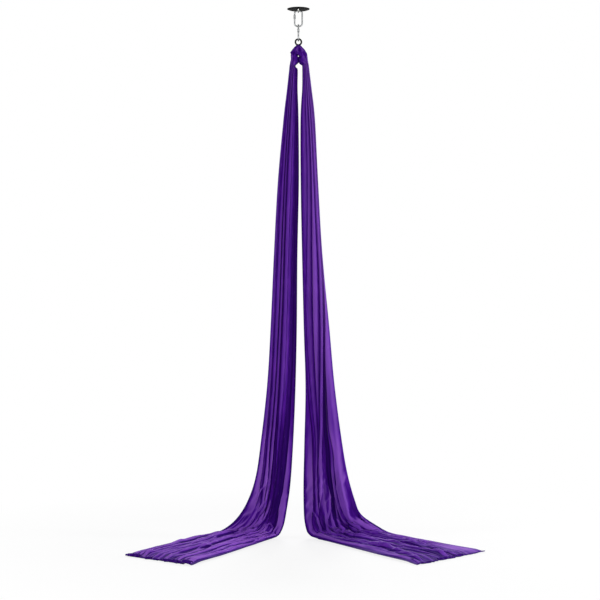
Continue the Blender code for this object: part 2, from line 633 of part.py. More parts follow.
def tail_edge(shares, side, spread, reach):
    """One edge of a tail as points, from rows of shares."""
    top = HITCH_BASE_Z - SEAT_GAP
    drop = FLOOR_DROP + HITCH_BASE_Z
    points = [Vector((side * a * spread, -b * reach, top - c * drop)) for a, b, c in shares]
    return smooth_curve(points, TAIL_STEPS_A_ROW)


def tail_sections(inner, outer, side):
    """Rings of the folded cloth between its two edges, cut flat where they meet the floor."""
    depths = smooth_curve([Vector((share, 0.0, 0.0)) for share in TAIL_DEPTH_SHARES], TAIL_STEPS_A_ROW)
    last = len(inner) - 1
    rings = []
    for i in range(last + 1):
        above, below = max(i - 1, 0), min(i + 1, last)
        ahead = inner[below] + outer[below] - inner[above] - outer[above]
        across = outer[i] - inner[i]
        front = ahead.normalized().cross(across.normalized()).normalized() * side
        half = TAIL_DEPTH * depths[i].x / 2
        drift = TAIL_FOLD_DRIFT * math.sin(math.pi * i / last) + side
        ring = []
        for j in range(TAIL_POINTS_A_SIDE * 2):
            back = j >= TAIL_POINTS_A_SIDE
            k = j % TAIL_POINTS_A_SIDE
            share = k / TAIL_POINTS_A_SIDE
            share = 1.0 - share if back else share
            rounded = (1.0 - math.cos(math.pi * share)) / 2
            eased = share + TAIL_EDGE_EASE * (rounded - share)
            fullness = math.sin(math.pi * share) ** TAIL_FULLNESS_POWER if 0.0 < share < 1.0 else 0.0
            phase = math.tau * TAIL_FOLDS * share + drift + TAIL_BACK_FOLD_SHIFT * back
            fold = TAIL_FOLD_DEPTH * depths[i].x * math.cos(phase)
            offset = fullness * (half + fold) * (-1.0 if back else 1.0)
            point = inner[i] + across * eased + front * offset
            point.z = max(point.z, -FLOOR_DROP)
            ring.append(point)
        rings.append(ring)
    return rings


def build_tail(name, side, inner_shares, outer_shares, spread, reach, parent, cloth):
    """One hanging half of the cloth, which runs out over the floor."""
    inner = tail_edge(inner_shares, side, spread, reach)
    outer = tail_edge(outer_shares, side, spread, reach)
    work = loft(tail_sections(inner, outer, side))
    add_object(name, work, cloth, Vector((0.0, 0.0, EIGHT_TOP_BAR_Z)), parent)


def signed_power(value, power):
    """Raises a value's size to a power and keeps its sign."""
    return math.copysign(abs(value) ** power, value)


def build_hitch(parent, cloth):
    """The knotted middle of the cloth round the eight's neck and big ring."""
    base = HITCH_BASE_Z
    rise = HITCH_TOP_Z - base
    rings = []
    for height, left, right, depth in HITCH_OUTLINE_SHARES:
        z = base + rise * height
        ring = []
        middle = (left + right) / 2 * HITCH_WIDTH
        reach = (right - left) / 2 * HITCH_WIDTH
        for j in range(HITCH_POINTS_A_SIDE * 2):
            angle = math.pi * j / HITCH_POINTS_A_SIDE
            fold = 1.0 + HITCH_FOLD_SHARE * math.cos(HITCH_FOLDS * angle + HITCH_FOLD_DRIFT * height)
            x = middle - reach * signed_power(math.cos(angle), HITCH_SIDE_POWER)
            y = -HITCH_DEPTH / 2 * depth * fold * signed_power(math.sin(angle), HITCH_FRONT_POWER)
            ring.append(Vector((x, y, z)))
        rings.append(ring)
    origin = Vector((0.0, 0.0, EIGHT_TOP_BAR_Z))
    hitch = add_object("silk_hitch", loft(rings), cloth, origin, parent)

    add_boolean(hitch, add_object("hitch_pocket", eight_solid(SEAT_GAP), None))
    eyelet_z = base + HITCH_EYELET_RISE
    over = Vector((0.0, HITCH_DEPTH, 0.0))
    eyelet_point = Vector((0.0, 0.0, eyelet_z))
    eyelet = plain_bar(HITCH_EYELET_DIAMETER / 2, eyelet_point - over, eyelet_point + over, SMALL_SIDES)
    add_boolean(hitch, add_object("hitch_eyelet", eyelet, None))
    notch_half = HITCH_NOTCH_WIDTH / 2
    notch = [
        (-notch_half, base - CUT_OVERRUN), (notch_half, base - CUT_OVERRUN),
        (notch_half / 2, base + HITCH_NOTCH_HEIGHT / 2), (0.0, base + HITCH_NOTCH_HEIGHT),
        (-notch_half / 2, base + HITCH_NOTCH_HEIGHT / 2),
    ]
    add_boolean(hitch, add_object("hitch_notch", slab(notch, HITCH_DEPTH * 2), None))


def main():
    """Builds the whole part."""
    clear_scene()
    black = make_material("black_steel", (0.012, 0.012, 0.013), 0.6, 0.42)
    steel = make_material("zinc_steel", (0.62, 0.63, 0.64), 1.0, 0.3)
    bright = make_material("bright_steel", (0.82, 0.83, 0.84), 1.0, 0.16)
    dark_steel = make_material("dark_steel", (0.25, 0.25, 0.26), 1.0, 0.4)
    anodised = make_material("black_alloy", (0.01, 0.01, 0.012), 0.8, 0.3)
    cloth = make_material("purple_cloth", (0.09, 0.012, 0.27), 0.0, 0.45)

    build_ceiling_mount(black, bright)
    upper = build_carabiner("upper", UPPER_LINK_Z, 0.0, None, steel, dark_steel)
    lower = build_carabiner("lower", -LINK_STEP, math.pi / 2, upper, steel, dark_steel)
    hanger = add_empty("silks_pivot", EIGHT_TOP_BAR_Z - LOWER_LINK_Z, -math.pi / 2, lower)
    frame = add_empty("silks_frame", -EIGHT_TOP_BAR_Z, 0.0, hanger)
    add_object("rescue_eight", eight_solid(0.0), anodised, Vector((0.0, 0.0, EIGHT_TOP_BAR_Z)), frame)
    build_hitch(frame, cloth)
    build_tail("silk_tail_left", -1.0, LEFT_INNER_EDGE_SHARES, LEFT_OUTER_EDGE_SHARES,
               LEFT_TAIL_SPREAD, LEFT_TAIL_REACH, frame, cloth)
    build_tail("silk_tail_right", 1.0, RIGHT_INNER_EDGE_SHARES, RIGHT_OUTER_EDGE_SHARES,
               RIGHT_TAIL_SPREAD, RIGHT_TAIL_REACH, frame, cloth)


main()
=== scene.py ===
"""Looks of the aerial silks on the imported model: cloth, metal finishes, floor, lamps and camera."""

import json
import logging
import math
from collections.abc import Sequence
from dataclasses import dataclass
from enum import Enum

import bpy
import numpy as np
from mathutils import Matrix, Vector, noise


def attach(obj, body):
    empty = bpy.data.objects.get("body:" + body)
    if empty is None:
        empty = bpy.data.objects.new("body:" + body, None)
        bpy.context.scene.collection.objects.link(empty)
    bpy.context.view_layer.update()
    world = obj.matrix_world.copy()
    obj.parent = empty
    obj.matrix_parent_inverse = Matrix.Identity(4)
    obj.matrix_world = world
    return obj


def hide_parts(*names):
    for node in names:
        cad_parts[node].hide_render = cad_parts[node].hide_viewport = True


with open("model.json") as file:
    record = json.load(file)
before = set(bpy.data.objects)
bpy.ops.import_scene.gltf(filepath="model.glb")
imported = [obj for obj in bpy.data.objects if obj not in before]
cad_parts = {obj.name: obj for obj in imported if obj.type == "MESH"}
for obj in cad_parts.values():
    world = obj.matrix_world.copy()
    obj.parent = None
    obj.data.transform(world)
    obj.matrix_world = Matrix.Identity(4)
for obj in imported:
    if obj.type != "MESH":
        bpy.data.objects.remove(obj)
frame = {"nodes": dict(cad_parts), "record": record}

LOG = logging.getLogger("aerial_silks")
MM = 0.001
FLOOR_Z = -3.443
TAIL_TOP_Z = -0.3668
TAIL_DROP = 3.0765
CLOTH_BODY = "silk_hanger"
FLAT_LAYER = "flat_cloth"
# Point layer of painted light and shade on the cloth: -1 for painted shade, 1 for painted highlight
PAINTED_LIGHT_LAYER = "painted_fold_light"
ROW_PULL = 0.5
LINE_PULL = 0.42
WHITE = (1.0, 1.0, 1.0, 1.0)
TINY = 1e-12

Row = tuple[float, ...]
Span = tuple[float, float]
Colour = tuple[float, float, float]
Socket = bpy.types.NodeSocket


class Side(Enum):
    """Which half of the cloth a size belongs to."""

    LEFT = -1.0
    RIGHT = 1.0


class Seed(Enum):
    """Where in the noise each unevenness is drawn, so that no two look alike."""

    COWL = 3.0
    TENSION = 5.0
    SLOW_FOLDS = 11.0
    LOBE = 13.0
    TENSION_SHARE = 14.0
    QUICK_FOLDS = 23.0
    CRUMPLE = 36.0
    FOLD_WARP = 47.0
    LYING_WARP = 54.0
    STREAK = 62.0
    HEM = 71.0
    CROSS = 72.0
    FINE_HEM = 75.0
    FLECK = 82.0


# Node trees


def srgb(red: float, green: float, blue: float) -> tuple[float, float, float, float]:
    """A colour of 0 to 255 steps as the linear colour a shader takes.

    Args:
        red: Red, 0 to 255.
        green: Green, 0 to 255.
        blue: Blue, 0 to 255.

    Returns:
        Linear red, green and blue, and an alpha of 1.
    """
    steps = [value / 255.0 for value in (red, green, blue)]
    linear = [s / 12.92 if s <= 0.04045 else ((s + 0.055) / 1.055) ** 2.4 for s in steps]
    return (linear[0], linear[1], linear[2], 1.0)


class Tree:
    """A node tree under construction, of a material, a world or a group."""

    def __init__(self, tree: bpy.types.NodeTree) -> None:
        """Starts on a tree.

        Args:
            tree: The tree to add nodes to.
        """
        self.tree = tree

    def feed(self, socket: Socket, value: object) -> None:
        """Gives an input its value.

        Args:
            socket: The input socket.
            value: The value, or an output socket to link.
        """
        if isinstance(value, bpy.types.NodeSocket):
            self.tree.links.new(value, socket)
        else:
            socket.default_value = value

    def add(self, kind: str, values: dict | None = None, **settings: object) -> bpy.types.Node:
        """Adds a node.

        Args:
            kind: The node's type name.
            values: Socket name or number to a value, or to an output socket to link.
            **settings: Properties of the node.

        Returns:
            The new node.
        """
        node = self.tree.nodes.new(kind)
        for name, value in settings.items():
            setattr(node, name, value)
        for name, value in (values or {}).items():
            self.feed(node.inputs[name], value)
        return node

    def math(self, operation: str, first: object, second: object = 0.0) -> Socket:
        """A Math node's result.

        Args:
            operation: The operation's name.
            first: Number or socket.
            second: Number or socket.

        Returns:
            The output socket.
        """
        return self.add("ShaderNodeMath", {0: first, 1: second}, operation=operation).outputs[0]

    def spread(self, value: object, low: float, high: float, to_low: float, to_high: float) -> Socket:
        """A Map Range node's result, clamped.

        Args:
            value: The input socket.
            low: Input that gives to_low.
            high: Input that gives to_high.
            to_low: Output at the low end.
            to_high: Output at the high end.

        Returns:
            The output socket.
        """
        values = {"Value": value, "From Min": low, "From Max": high, "To Min": to_low, "To Max": to_high}
        return self.add("ShaderNodeMapRange", values).outputs[0]

    def mix(self, factor: object, first: object, second: object) -> Socket:
        """A colour Mix node's result.

        Args:
            factor: Number or socket.
            first: Colour or socket at factor 0.
            second: Colour or socket at factor 1.

        Returns:
            The output socket.
        """
        node = self.add("ShaderNodeMix", data_type="RGBA")
        for socket, value in zip((node.inputs[0], node.inputs[6], node.inputs[7]), (factor, first, second)):
            self.feed(socket, value)
        return node.outputs[2]

    def noise(self, place: Socket, scale: object, detail: float, roughness: float = 0.5) -> Socket:
        """A Noise Texture's value.

        Args:
            place: The position socket.
            scale: Number or socket.
            detail: How many finer layers it has.
            roughness: How strong those are.

        Returns:
            The output socket.
        """
        values = {"Vector": place, "Scale": scale, "Detail": detail, "Roughness": roughness}
        return self.add("ShaderNodeTexNoise", values).outputs[0]

    def split(self, vector: Socket) -> bpy.types.NodeOutputs:
        """The three parts of a vector."""
        return self.add("ShaderNodeSeparateXYZ", {0: vector}).outputs

    def join(self, x: object, y: object, z: object = 0.0) -> Socket:
        """A vector of three parts."""
        return self.add("ShaderNodeCombineXYZ", {0: x, 1: y, 2: z}).outputs[0]

    def bump(self, height: Socket, strength: float, distance: float, normal: Socket | None = None) -> Socket:
        """A Bump node's normal.

        Args:
            height: The height socket.
            strength: How much of the relief shows.
            distance: Height of the relief, in metres.
            normal: The normal that it starts from, if not the surface's own.

        Returns:
            The output socket.
        """
        values = {"Height": height, "Strength": strength, "Distance": distance}
        if normal is not None:
            values["Normal"] = normal
        return self.add("ShaderNodeBump", values).outputs[0]

    def group(self, tree: bpy.types.NodeTree, **values: object) -> bpy.types.NodeOutputs:
        """Places a node group.

        Args:
            tree: The group.
            **values: Its inputs, with underscores for the spaces of their names.

        Returns:
            The outputs of the group's node.
        """
        node = self.add("ShaderNodeGroup", node_tree=tree)
        for name, value in values.items():
            self.feed(node.inputs[name.replace("_", " ")], value)
        return node.outputs


class Effect:
    """A shared shader effect, a node group that is built once."""

    def __init__(self, name: str, inputs: dict[str, float | None], outputs: dict[str, str]) -> None:
        """Makes the empty group.

        Args:
            name: The group's name.
            inputs: Name and default of each input, where None stands for a vector.
            outputs: Name and socket kind of each output.
        """
        self.group = bpy.data.node_groups.new(name, "ShaderNodeTree")
        self.tree = Tree(self.group)
        for label, default in inputs.items():
            kind = "NodeSocketVector" if default is None else "NodeSocketFloat"
            socket = self.group.interface.new_socket(label, in_out="INPUT", socket_type=kind)
            if default is not None:
                socket.default_value = default
        for label, kind in outputs.items():
            self.group.interface.new_socket(label, in_out="OUTPUT", socket_type="NodeSocket" + kind)
        self.given = self.tree.add("NodeGroupInput").outputs
        self.result = self.tree.add("NodeGroupOutput")

    def give(self, **results: Socket) -> bpy.types.NodeTree:
        """Links each result to the group's output of that name.

        Args:
            **results: The results.

        Returns:
            The finished group.
        """
        for name, socket in results.items():
            self.group.links.new(socket, self.result.inputs[name])
        return self.group


def knit_effect() -> bpy.types.NodeTree:
    """The tricot's fine wales and courses, from a position on the flat cloth in metres.

    Returns:
        The group, with the knit's height and a mask of its hollows.
    """
    effect = Effect("tricot_knit", {"Position": None, "Pitch": 0.8 * MM},
                    {"Height": "Float", "Hollow": "Float"})
    stitch_lean, course_swing = 1.6, 0.25
    tree = effect.tree
    parts = tree.split(effect.given["Position"])
    across = tree.math("DIVIDE", parts[0], effect.given["Pitch"])
    along = tree.math("DIVIDE", parts[1], effect.given["Pitch"])
    wale = tree.math("ABSOLUTE", tree.math("SINE", tree.math("MULTIPLY", across, math.pi)))
    lean = tree.math("MULTIPLY", tree.math("PINGPONG", across, 0.5), stitch_lean)
    wave = tree.math("SINE", tree.math("MULTIPLY", tree.math("ADD", along, lean), math.tau))
    values = {0: wave, 1: course_swing, 2: 1.0 - course_swing}
    course = tree.add("ShaderNodeMath", values, operation="MULTIPLY_ADD").outputs[0]
    height = tree.math("MULTIPLY", wale, course)
    return effect.give(Height=height, Hollow=tree.math("SUBTRACT", 1.0, height))


def drift_effect() -> bpy.types.NodeTree:
    """Slow uneven change over a surface, such as of dye or of film thickness.

    Returns:
        The group, with a value of about 0 to 1 and the stretch of it along one way.
    """
    effect = Effect("slow_drift", {"Position": None, "Scale": 10.0, "Stretch": 0.1},
                    {"Drift": "Float", "Streak": "Float"})
    streaks_finer, low, high = 6.0, 0.3, 0.7
    tree = effect.tree
    cloud = tree.noise(effect.given["Position"], effect.given["Scale"], 4.0)
    parts = tree.split(effect.given["Position"])
    pulled = tree.join(parts[0], tree.math("MULTIPLY", parts[1], effect.given["Stretch"]), parts[2])
    streak = tree.noise(pulled, tree.math("MULTIPLY", effect.given["Scale"], streaks_finer), 3.0)
    return effect.give(
        Drift=tree.spread(cloud, low, high, 0.0, 1.0),
        Streak=tree.spread(streak, low, high, 0.0, 1.0),
    )


def edge_effect() -> bpy.types.NodeTree:
    """Softened edges and the wear along them.

    Returns:
        The group, with a mask that is 1 on worn edges and the rounded normal.
    """
    effect = Effect("worn_edges", {"Radius": 1.0 * MM, "Position": None, "Scale": 400.0},
                    {"Wear": "Float", "Normal": "Vector"})
    tree = effect.tree
    bevel = tree.add("ShaderNodeBevel", {"Radius": effect.given["Radius"]}, samples=4).outputs[0]
    true_normal = tree.add("ShaderNodeNewGeometry").outputs["Normal"]
    turned = tree.add("ShaderNodeVectorMath", {0: bevel, 1: true_normal}, operation="DOT_PRODUCT")
    sharp = tree.spread(turned.outputs["Value"], 0.97, 0.75, 0.0, 1.0)
    grain = tree.noise(effect.given["Position"], effect.given["Scale"], 3.0)
    broken = tree.spread(grain, 0.42, 0.6, 0.0, 1.0)
    return effect.give(Wear=tree.math("MULTIPLY", sharp, broken), Normal=bevel)


def scratch_effect() -> bpy.types.NodeTree:
    """Fine drawn lines and sparse scratches of metal.

    Returns:
        The group, with the height of the lines and a mask of scratches.
    """
    effect = Effect("fine_scratches", {"Position": None, "Scale": 900.0},
                    {"Height": "Float", "Scratch": "Float"})
    line_stretch, scratches_coarser, scratch_stretch, slant = 0.06, 0.4, 0.05, (0.5, 0.9, 0.3)
    tree = effect.tree
    parts = tree.split(effect.given["Position"])
    lines = tree.join(parts[0], parts[1], tree.math("MULTIPLY", parts[2], line_stretch))
    drawn = tree.noise(lines, effect.given["Scale"], 2.0)
    values = {"Vector": effect.given["Position"], "Rotation": slant, "Scale": (1.0, scratch_stretch, 1.0)}
    slanted = tree.add("ShaderNodeMapping", values).outputs[0]
    marks = tree.noise(slanted, tree.math("MULTIPLY", effect.given["Scale"], scratches_coarser), 1.0)
    return effect.give(Height=drawn, Scratch=tree.spread(marks, 0.66, 0.72, 0.0, 1.0))


class Effects:
    """The shared effects, built once."""

    def __init__(self) -> None:
        """Builds the node groups."""
        self.knit = knit_effect()
        self.drift = drift_effect()
        self.edges = edge_effect()
        self.scratches = scratch_effect()


# Finishes


class Look:
    """A material under construction, with its Principled shader."""

    def __init__(self, name: str) -> None:
        """Makes the material with a plain Principled shader.

        Args:
            name: The material's name.
        """
        self.material = bpy.data.materials.new(name)
        self.material.use_nodes = True
        self.material.node_tree.nodes.clear()
        self.tree = Tree(self.material.node_tree)
        self.shader = self.tree.add("ShaderNodeBsdfPrincipled")
        self.output = self.tree.add("ShaderNodeOutputMaterial", {"Surface": self.shader.outputs[0]})
        self.output.is_active_output = True

    def place(self) -> Socket:
        """The position on the object, in metres."""
        return self.tree.add("ShaderNodeTexCoord").outputs["Object"]

    def set(self, **values: object) -> None:
        """Sets inputs of the shader.

        Args:
            **values: Values or sockets, with underscores for the spaces of the inputs' names.
        """
        for name, value in values.items():
            self.tree.feed(self.shader.inputs[name.replace("_", " ")], value)


@dataclass(frozen=True)
class ClothFinish:
    """Purple nylon tricot: a fine knit with a satin sheen, with painted shade in its valleys and painted
    highlights on its crests.
    """

    name: str = "purple_tricot"
    # deep is the darker dye and the painted shade in the knit's hollows; valley is the colour of the darker
    # streaks and of the painted shade in valleys; crest is the colour of the painted highlight on crests
    deep: Colour = (65, 10, 132)
    plain: Colour = (80, 18, 147)
    bright: Colour = (104, 38, 171)
    valley: Colour = (42, 3, 97)
    crest: Colour = (148, 92, 198)
    sheen_tint: Colour = (200, 160, 235)
    roughness: float = 0.55
    specular: float = 0.025
    sheen: float = 0.3
    sheen_roughness: float = 0.35
    dye_scale: float = 3.0
    dye_stretch: float = 0.12
    streak_scale: float = 16.0
    streak_stretch: float = 0.08
    knit_pitch: float = 0.9 * MM
    knit_depth: float = 0.12 * MM
    knit_strength: float = 0.35
    crinkle_scale: float = 38.0
    crinkle_depth: float = 6.0 * MM
    crinkle_strength: float = 0.16
    bright_streaks: float = 0.55
    dark_streaks: float = 0.4
    hollow_shade: float = 0.22
    valley_shade: float = 0.95
    crest_highlight: float = 0.62

    def colour(self, tree: Tree, drift: Socket, streak: Socket, hollow: Socket) -> Socket:
        """The dye's colour with its streaks, painted shade in the knit's hollows and the folds' valleys, and
        painted highlights on their crests.

        Args:
            tree: The material's tree.
            drift: Slow change of the dye.
            streak: Fine streaks of it.
            hollow: Mask of the knit's hollows.

        Returns:
            The colour's socket.
        """
        # The painted light and shade stored on the cloth's points
        rise = tree.add("ShaderNodeAttribute", attribute_name=PAINTED_LIGHT_LAYER).outputs["Fac"]
        layers = (
            (tree.spread(streak, 0.5, 0.9, 0.0, self.bright_streaks), self.bright),
            (tree.spread(streak, 0.5, 0.1, 0.0, self.dark_streaks), self.valley),
            # Painted shade in the knit's hollows
            (tree.math("MULTIPLY", hollow, self.hollow_shade), self.deep),
            # Painted shade in the folds' valleys and painted highlight on their crests
            (tree.spread(rise, 0.0, -1.0, 0.0, self.valley_shade), self.valley),
            (tree.spread(rise, 0.05, 1.0, 0.0, self.crest_highlight), self.crest),
        )
        colour = tree.mix(drift, srgb(*self.deep), srgb(*self.plain))
        for share, tone in layers:
            colour = tree.mix(share, colour, srgb(*tone))
        return colour

    def material(self, effects: Effects) -> bpy.types.Material:
        """Builds the cloth's material.

        Args:
            effects: The shared effects.

        Returns:
            The material.
        """
        look = Look(self.name)
        tree = look.tree
        flat = tree.add("ShaderNodeUVMap", uv_map=FLAT_LAYER).outputs[0]
        knit = tree.group(effects.knit, Position=flat, Pitch=self.knit_pitch)
        drift = tree.group(effects.drift, Position=flat, Scale=self.dye_scale, Stretch=self.dye_stretch)
        fine = tree.group(effects.drift, Position=flat, Scale=self.streak_scale, Stretch=self.streak_stretch)
        crinkles = tree.noise(look.place(), self.crinkle_scale, 4.0, 0.55)
        soft = tree.bump(crinkles, self.crinkle_strength, self.crinkle_depth)
        look.set(
            Base_Color=self.colour(tree, drift["Drift"], fine["Streak"], knit["Hollow"]),
            Roughness=tree.spread(fine["Drift"], 0.0, 1.0, self.roughness - 0.06, self.roughness + 0.08),
            Specular_IOR_Level=self.specular,
            Sheen_Weight=self.sheen,
            Sheen_Roughness=self.sheen_roughness,
            Sheen_Tint=srgb(*self.sheen_tint),
            Normal=tree.bump(knit["Height"], self.knit_strength, self.knit_depth, soft),
        )
        return look.material


@dataclass(frozen=True)
class SteelFinish:
    """Steel, plated or bare, with drawn lines, scratches and worn edges."""

    name: str
    plain: Colour
    tarnish: Colour
    roughness: float
    bare: Colour = (205, 205, 203)
    bare_share: float = 0.6
    tarnish_share: float = 0.5
    edge: float = 0.7 * MM
    tarnish_scale: float = 90.0
    wear_scale: float = 900.0
    line_scale: float = 1400.0
    line_depth: float = 0.05 * MM
    line_strength: float = 0.25
    rim_tint: float = 0.35

    def material(self, effects: Effects) -> bpy.types.Material:
        """Builds the steel's material.

        Args:
            effects: The shared effects.

        Returns:
            The material.
        """
        look = Look(self.name)
        tree = look.tree
        place = look.place()
        drift = tree.group(effects.drift, Position=place, Scale=self.tarnish_scale, Stretch=0.6)
        lines = tree.group(effects.scratches, Position=place, Scale=self.line_scale)
        edges = tree.group(effects.edges, Radius=self.edge, Position=place, Scale=self.wear_scale)
        dull = tree.math("MULTIPLY", drift["Drift"], self.tarnish_share)
        bare = tree.math("MULTIPLY", tree.math("MAXIMUM", edges["Wear"], lines["Scratch"]), self.bare_share)
        colour = tree.mix(dull, srgb(*self.plain), srgb(*self.tarnish))
        look.set(
            Base_Color=tree.mix(bare, colour, srgb(*self.bare)),
            Metallic=1.0,
            Specular_Tint=(self.rim_tint, self.rim_tint, self.rim_tint, 1.0),
            Roughness=tree.spread(drift["Streak"], 0.0, 1.0, self.roughness - 0.05, self.roughness + 0.1),
            Normal=tree.bump(lines["Height"], self.line_strength, self.line_depth, edges["Normal"]),
        )
        return look.material


@dataclass(frozen=True)
class CoatedFinish:
    """A black coat over metal, powder on the plate or anodising on the eight, rubbed through at its edges."""

    name: str
    coat: Colour
    worn: Colour
    roughness: float
    specular: float
    grain: float
    grain_depth: float
    wear_share: float
    scratch_share: float = 0.4
    unevenness: float = 6.0
    unevenness_scale: float = 60.0
    edge: float = 0.9 * MM
    wear_scale: float = 700.0
    grain_strength: float = 0.3

    def material(self, effects: Effects) -> bpy.types.Material:
        """Builds the coat's material.

        Args:
            effects: The shared effects.

        Returns:
            The material.
        """
        look = Look(self.name)
        tree = look.tree
        place = look.place()
        drift = tree.group(effects.drift, Position=place, Scale=self.unevenness_scale, Stretch=0.5)
        edges = tree.group(effects.edges, Radius=self.edge, Position=place, Scale=self.wear_scale)
        lines = tree.group(effects.scratches, Position=place, Scale=self.wear_scale)
        wear = tree.math("MULTIPLY", edges["Wear"], self.wear_share)
        rubbed = tree.math("MULTIPLY", lines["Scratch"], self.wear_share * self.scratch_share)
        lighter = tuple(value + self.unevenness for value in self.coat)
        colour = tree.mix(drift["Drift"], srgb(*self.coat), srgb(*lighter))
        grain = tree.noise(place, self.grain, 2.0)
        look.set(
            Base_Color=tree.mix(tree.math("MAXIMUM", wear, rubbed), colour, srgb(*self.worn)),
            Metallic=tree.spread(wear, 0.0, 1.0, 0.0, 1.0),
            Specular_IOR_Level=self.specular,
            Roughness=tree.spread(drift["Streak"], 0.0, 1.0, self.roughness - 0.05, self.roughness + 0.08),
            Normal=tree.bump(grain, self.grain_strength, self.grain_depth, edges["Normal"]),
        )
        return look.material


METAL_FINISHES = {
    "black_steel": CoatedFinish(
        "black_powder_coat", (11, 11, 12), (120, 120, 120), roughness=0.5, specular=0.015, grain=1500.0,
        grain_depth=0.1 * MM, wear_share=0.4,
    ),
    "black_alloy": CoatedFinish(
        "black_anodised", (9, 9, 11), (110, 110, 114), roughness=0.36, specular=0.03, grain=2600.0,
        grain_depth=0.03 * MM, wear_share=0.22,
    ),
    "bright_steel": SteelFinish("bright_steel", (150, 150, 148), (112, 110, 106), 0.2),
    "zinc_steel": SteelFinish("zinc_plate", (146, 148, 149), (104, 106, 105), 0.28),
    "dark_steel": SteelFinish("oiled_steel", (74, 73, 71), (50, 47, 43), 0.34),
}


# Cloth surfaces


def curve_points(knots: Sequence[np.ndarray], t: np.ndarray | float, pull: float) -> np.ndarray:
    """A smooth curve between two knots.

    Args:
        knots: The knot before, the two knots and the knot after.
        t: Place between the two, 0 to 1.
        pull: How strongly the neighbours bend it.

    Returns:
        The curve's values.
    """
    before, start, end, after = knots
    lead, trail = (end - before) * pull, (after - start) * pull
    return (start * (2 * t**3 - 3 * t**2 + 1) + lead * (t**3 - 2 * t**2 + t)
            + end * (3 * t**2 - 2 * t**3) + trail * (t**3 - t**2))


def smooth_rows(rows: np.ndarray, steps: int) -> np.ndarray:
    """A smooth curve through rows of numbers.

    Args:
        rows: The rows to pass through.
        steps: Steps between neighbours.

    Returns:
        The rows of the curve.
    """
    padded = np.vstack([rows[:1], rows, rows[-1:]])
    knots = (padded[:-3], padded[1:-2], padded[2:-1], padded[3:])
    parts = [curve_points(knots, step / steps, ROW_PULL) for step in range(steps)]
    return np.vstack([np.stack(parts, axis=1).reshape(-1, rows.shape[1]), rows[-1:]])


def dense_line(knots: np.ndarray, steps: Sequence[int]) -> np.ndarray:
    """A smooth line through knots, row by row.

    Args:
        knots: Values, rows by knots.
        steps: Points to place between each knot and the next.

    Returns:
        The values of the line, rows by columns.
    """
    padded = np.concatenate([knots[:, :1], knots, knots[:, -1:]], axis=1)
    parts = []
    for k, count in enumerate(steps):
        near = [padded[:, k + i][:, None] for i in range(4)]
        parts.append(curve_points(near, (np.arange(count) / count)[None], LINE_PULL))
    return np.concatenate(parts + [knots[:, -1:]], axis=1)


def unit(vectors: np.ndarray) -> np.ndarray:
    """The vectors at length 1."""
    return vectors / np.maximum(np.linalg.norm(vectors, axis=-1, keepdims=True), TINY)


def eased(value: np.ndarray, low: float, high: float) -> np.ndarray:
    """A smooth step from 0 at low to 1 at high."""
    t = np.clip((value - low) / (high - low), 0.0, 1.0)
    return t * t * (3.0 - 2.0 * t)


def peak(value: np.ndarray, half_width: float) -> np.ndarray:
    """A rounded peak, 1 where the value is 0."""
    return np.exp(-((value / half_width) ** 2))


def signed_power(value: np.ndarray, power: float) -> np.ndarray:
    """A power of the value's size, with the value's sign."""
    return np.sign(value) * np.abs(value) ** power


def wander(x: np.ndarray, y: np.ndarray | float, seed: float) -> np.ndarray:
    """Smooth noise at places on a plane.

    Args:
        x: First number of each place, in noise units.
        y: Second number of each.
        seed: Moves the noise to another place.

    Returns:
        A value of about -1 to 1 for each place.
    """
    return wander_at(np.stack([x, y + np.zeros_like(x), np.zeros_like(x)], axis=-1), seed)


def wander_at(points: np.ndarray, seed: float) -> np.ndarray:
    """Smooth noise at points.

    Args:
        points: Points, three numbers each, in noise units.
        seed: Moves the noise to another place.

    Returns:
        A value of about -1 to 1 for each point.
    """
    flat = points.reshape(-1, 3) + seed
    values = np.fromiter((noise.noise(Vector(p)) for p in flat), float, len(flat))
    return values.reshape(points.shape[:-1])


def ridged(values: np.ndarray) -> np.ndarray:
    """Thin ridges, as of creased cloth, from smooth noise: 1 on a ridge and 0 away from one."""
    return np.clip(1.0 - 2.3 * np.abs(values), 0.0, 1.0) ** 1.7


def blurred(values: np.ndarray, rounds: int) -> np.ndarray:
    """Rows evened out, each value with its neighbours.

    Args:
        values: Rows by columns.
        rounds: How many times neighbours are averaged.

    Returns:
        The rows evened out.
    """
    for _ in range(rounds):
        wide = np.pad(values, ((0, 0), (1, 1)), mode="edge")
        values = (wide[:, :-2] + 2.0 * wide[:, 1:-1] + wide[:, 2:]) / 4.0
    return values


@dataclass(frozen=True)
class Crease:
    """A ridge, or with a height below 0 a valley, pressed in the cloth.

    route holds points as (share across, metres along).
    """

    route: tuple[Span, ...]
    half_width: float
    height: float

    def lift(self, across: np.ndarray, along: np.ndarray, width: np.ndarray) -> np.ndarray:
        """How far the crease lifts each point, most in the middle of its route.

        Args:
            across: Share across of each point.
            along: Metres along of each point.
            width: Width of the band at each point.

        Returns:
            The lift of each point, in metres.
        """
        nearest = np.full(across.shape, np.inf)
        place = np.zeros(across.shape)
        count = len(self.route) - 1
        for i, ((a0, s0), (a1, s1)) in enumerate(zip(self.route, self.route[1:])):
            run_x, run_y = (a1 - a0) * width, s1 - s0
            from_x, from_y = (across - a0) * width, along - s0
            t = np.clip((from_x * run_x + from_y * run_y) / (run_x**2 + run_y**2 + TINY), 0.0, 1.0)
            distance = np.hypot(from_x - t * run_x, from_y - t * run_y)
            closer = distance < nearest
            nearest = np.where(closer, distance, nearest)
            place = np.where(closer, (i + t) / count, place)
        taper = np.sin(np.pi * np.clip(place, 0.04, 0.96)) ** 0.5
        return 2.2 * self.height * taper * np.exp(-1.15 * nearest / self.half_width)


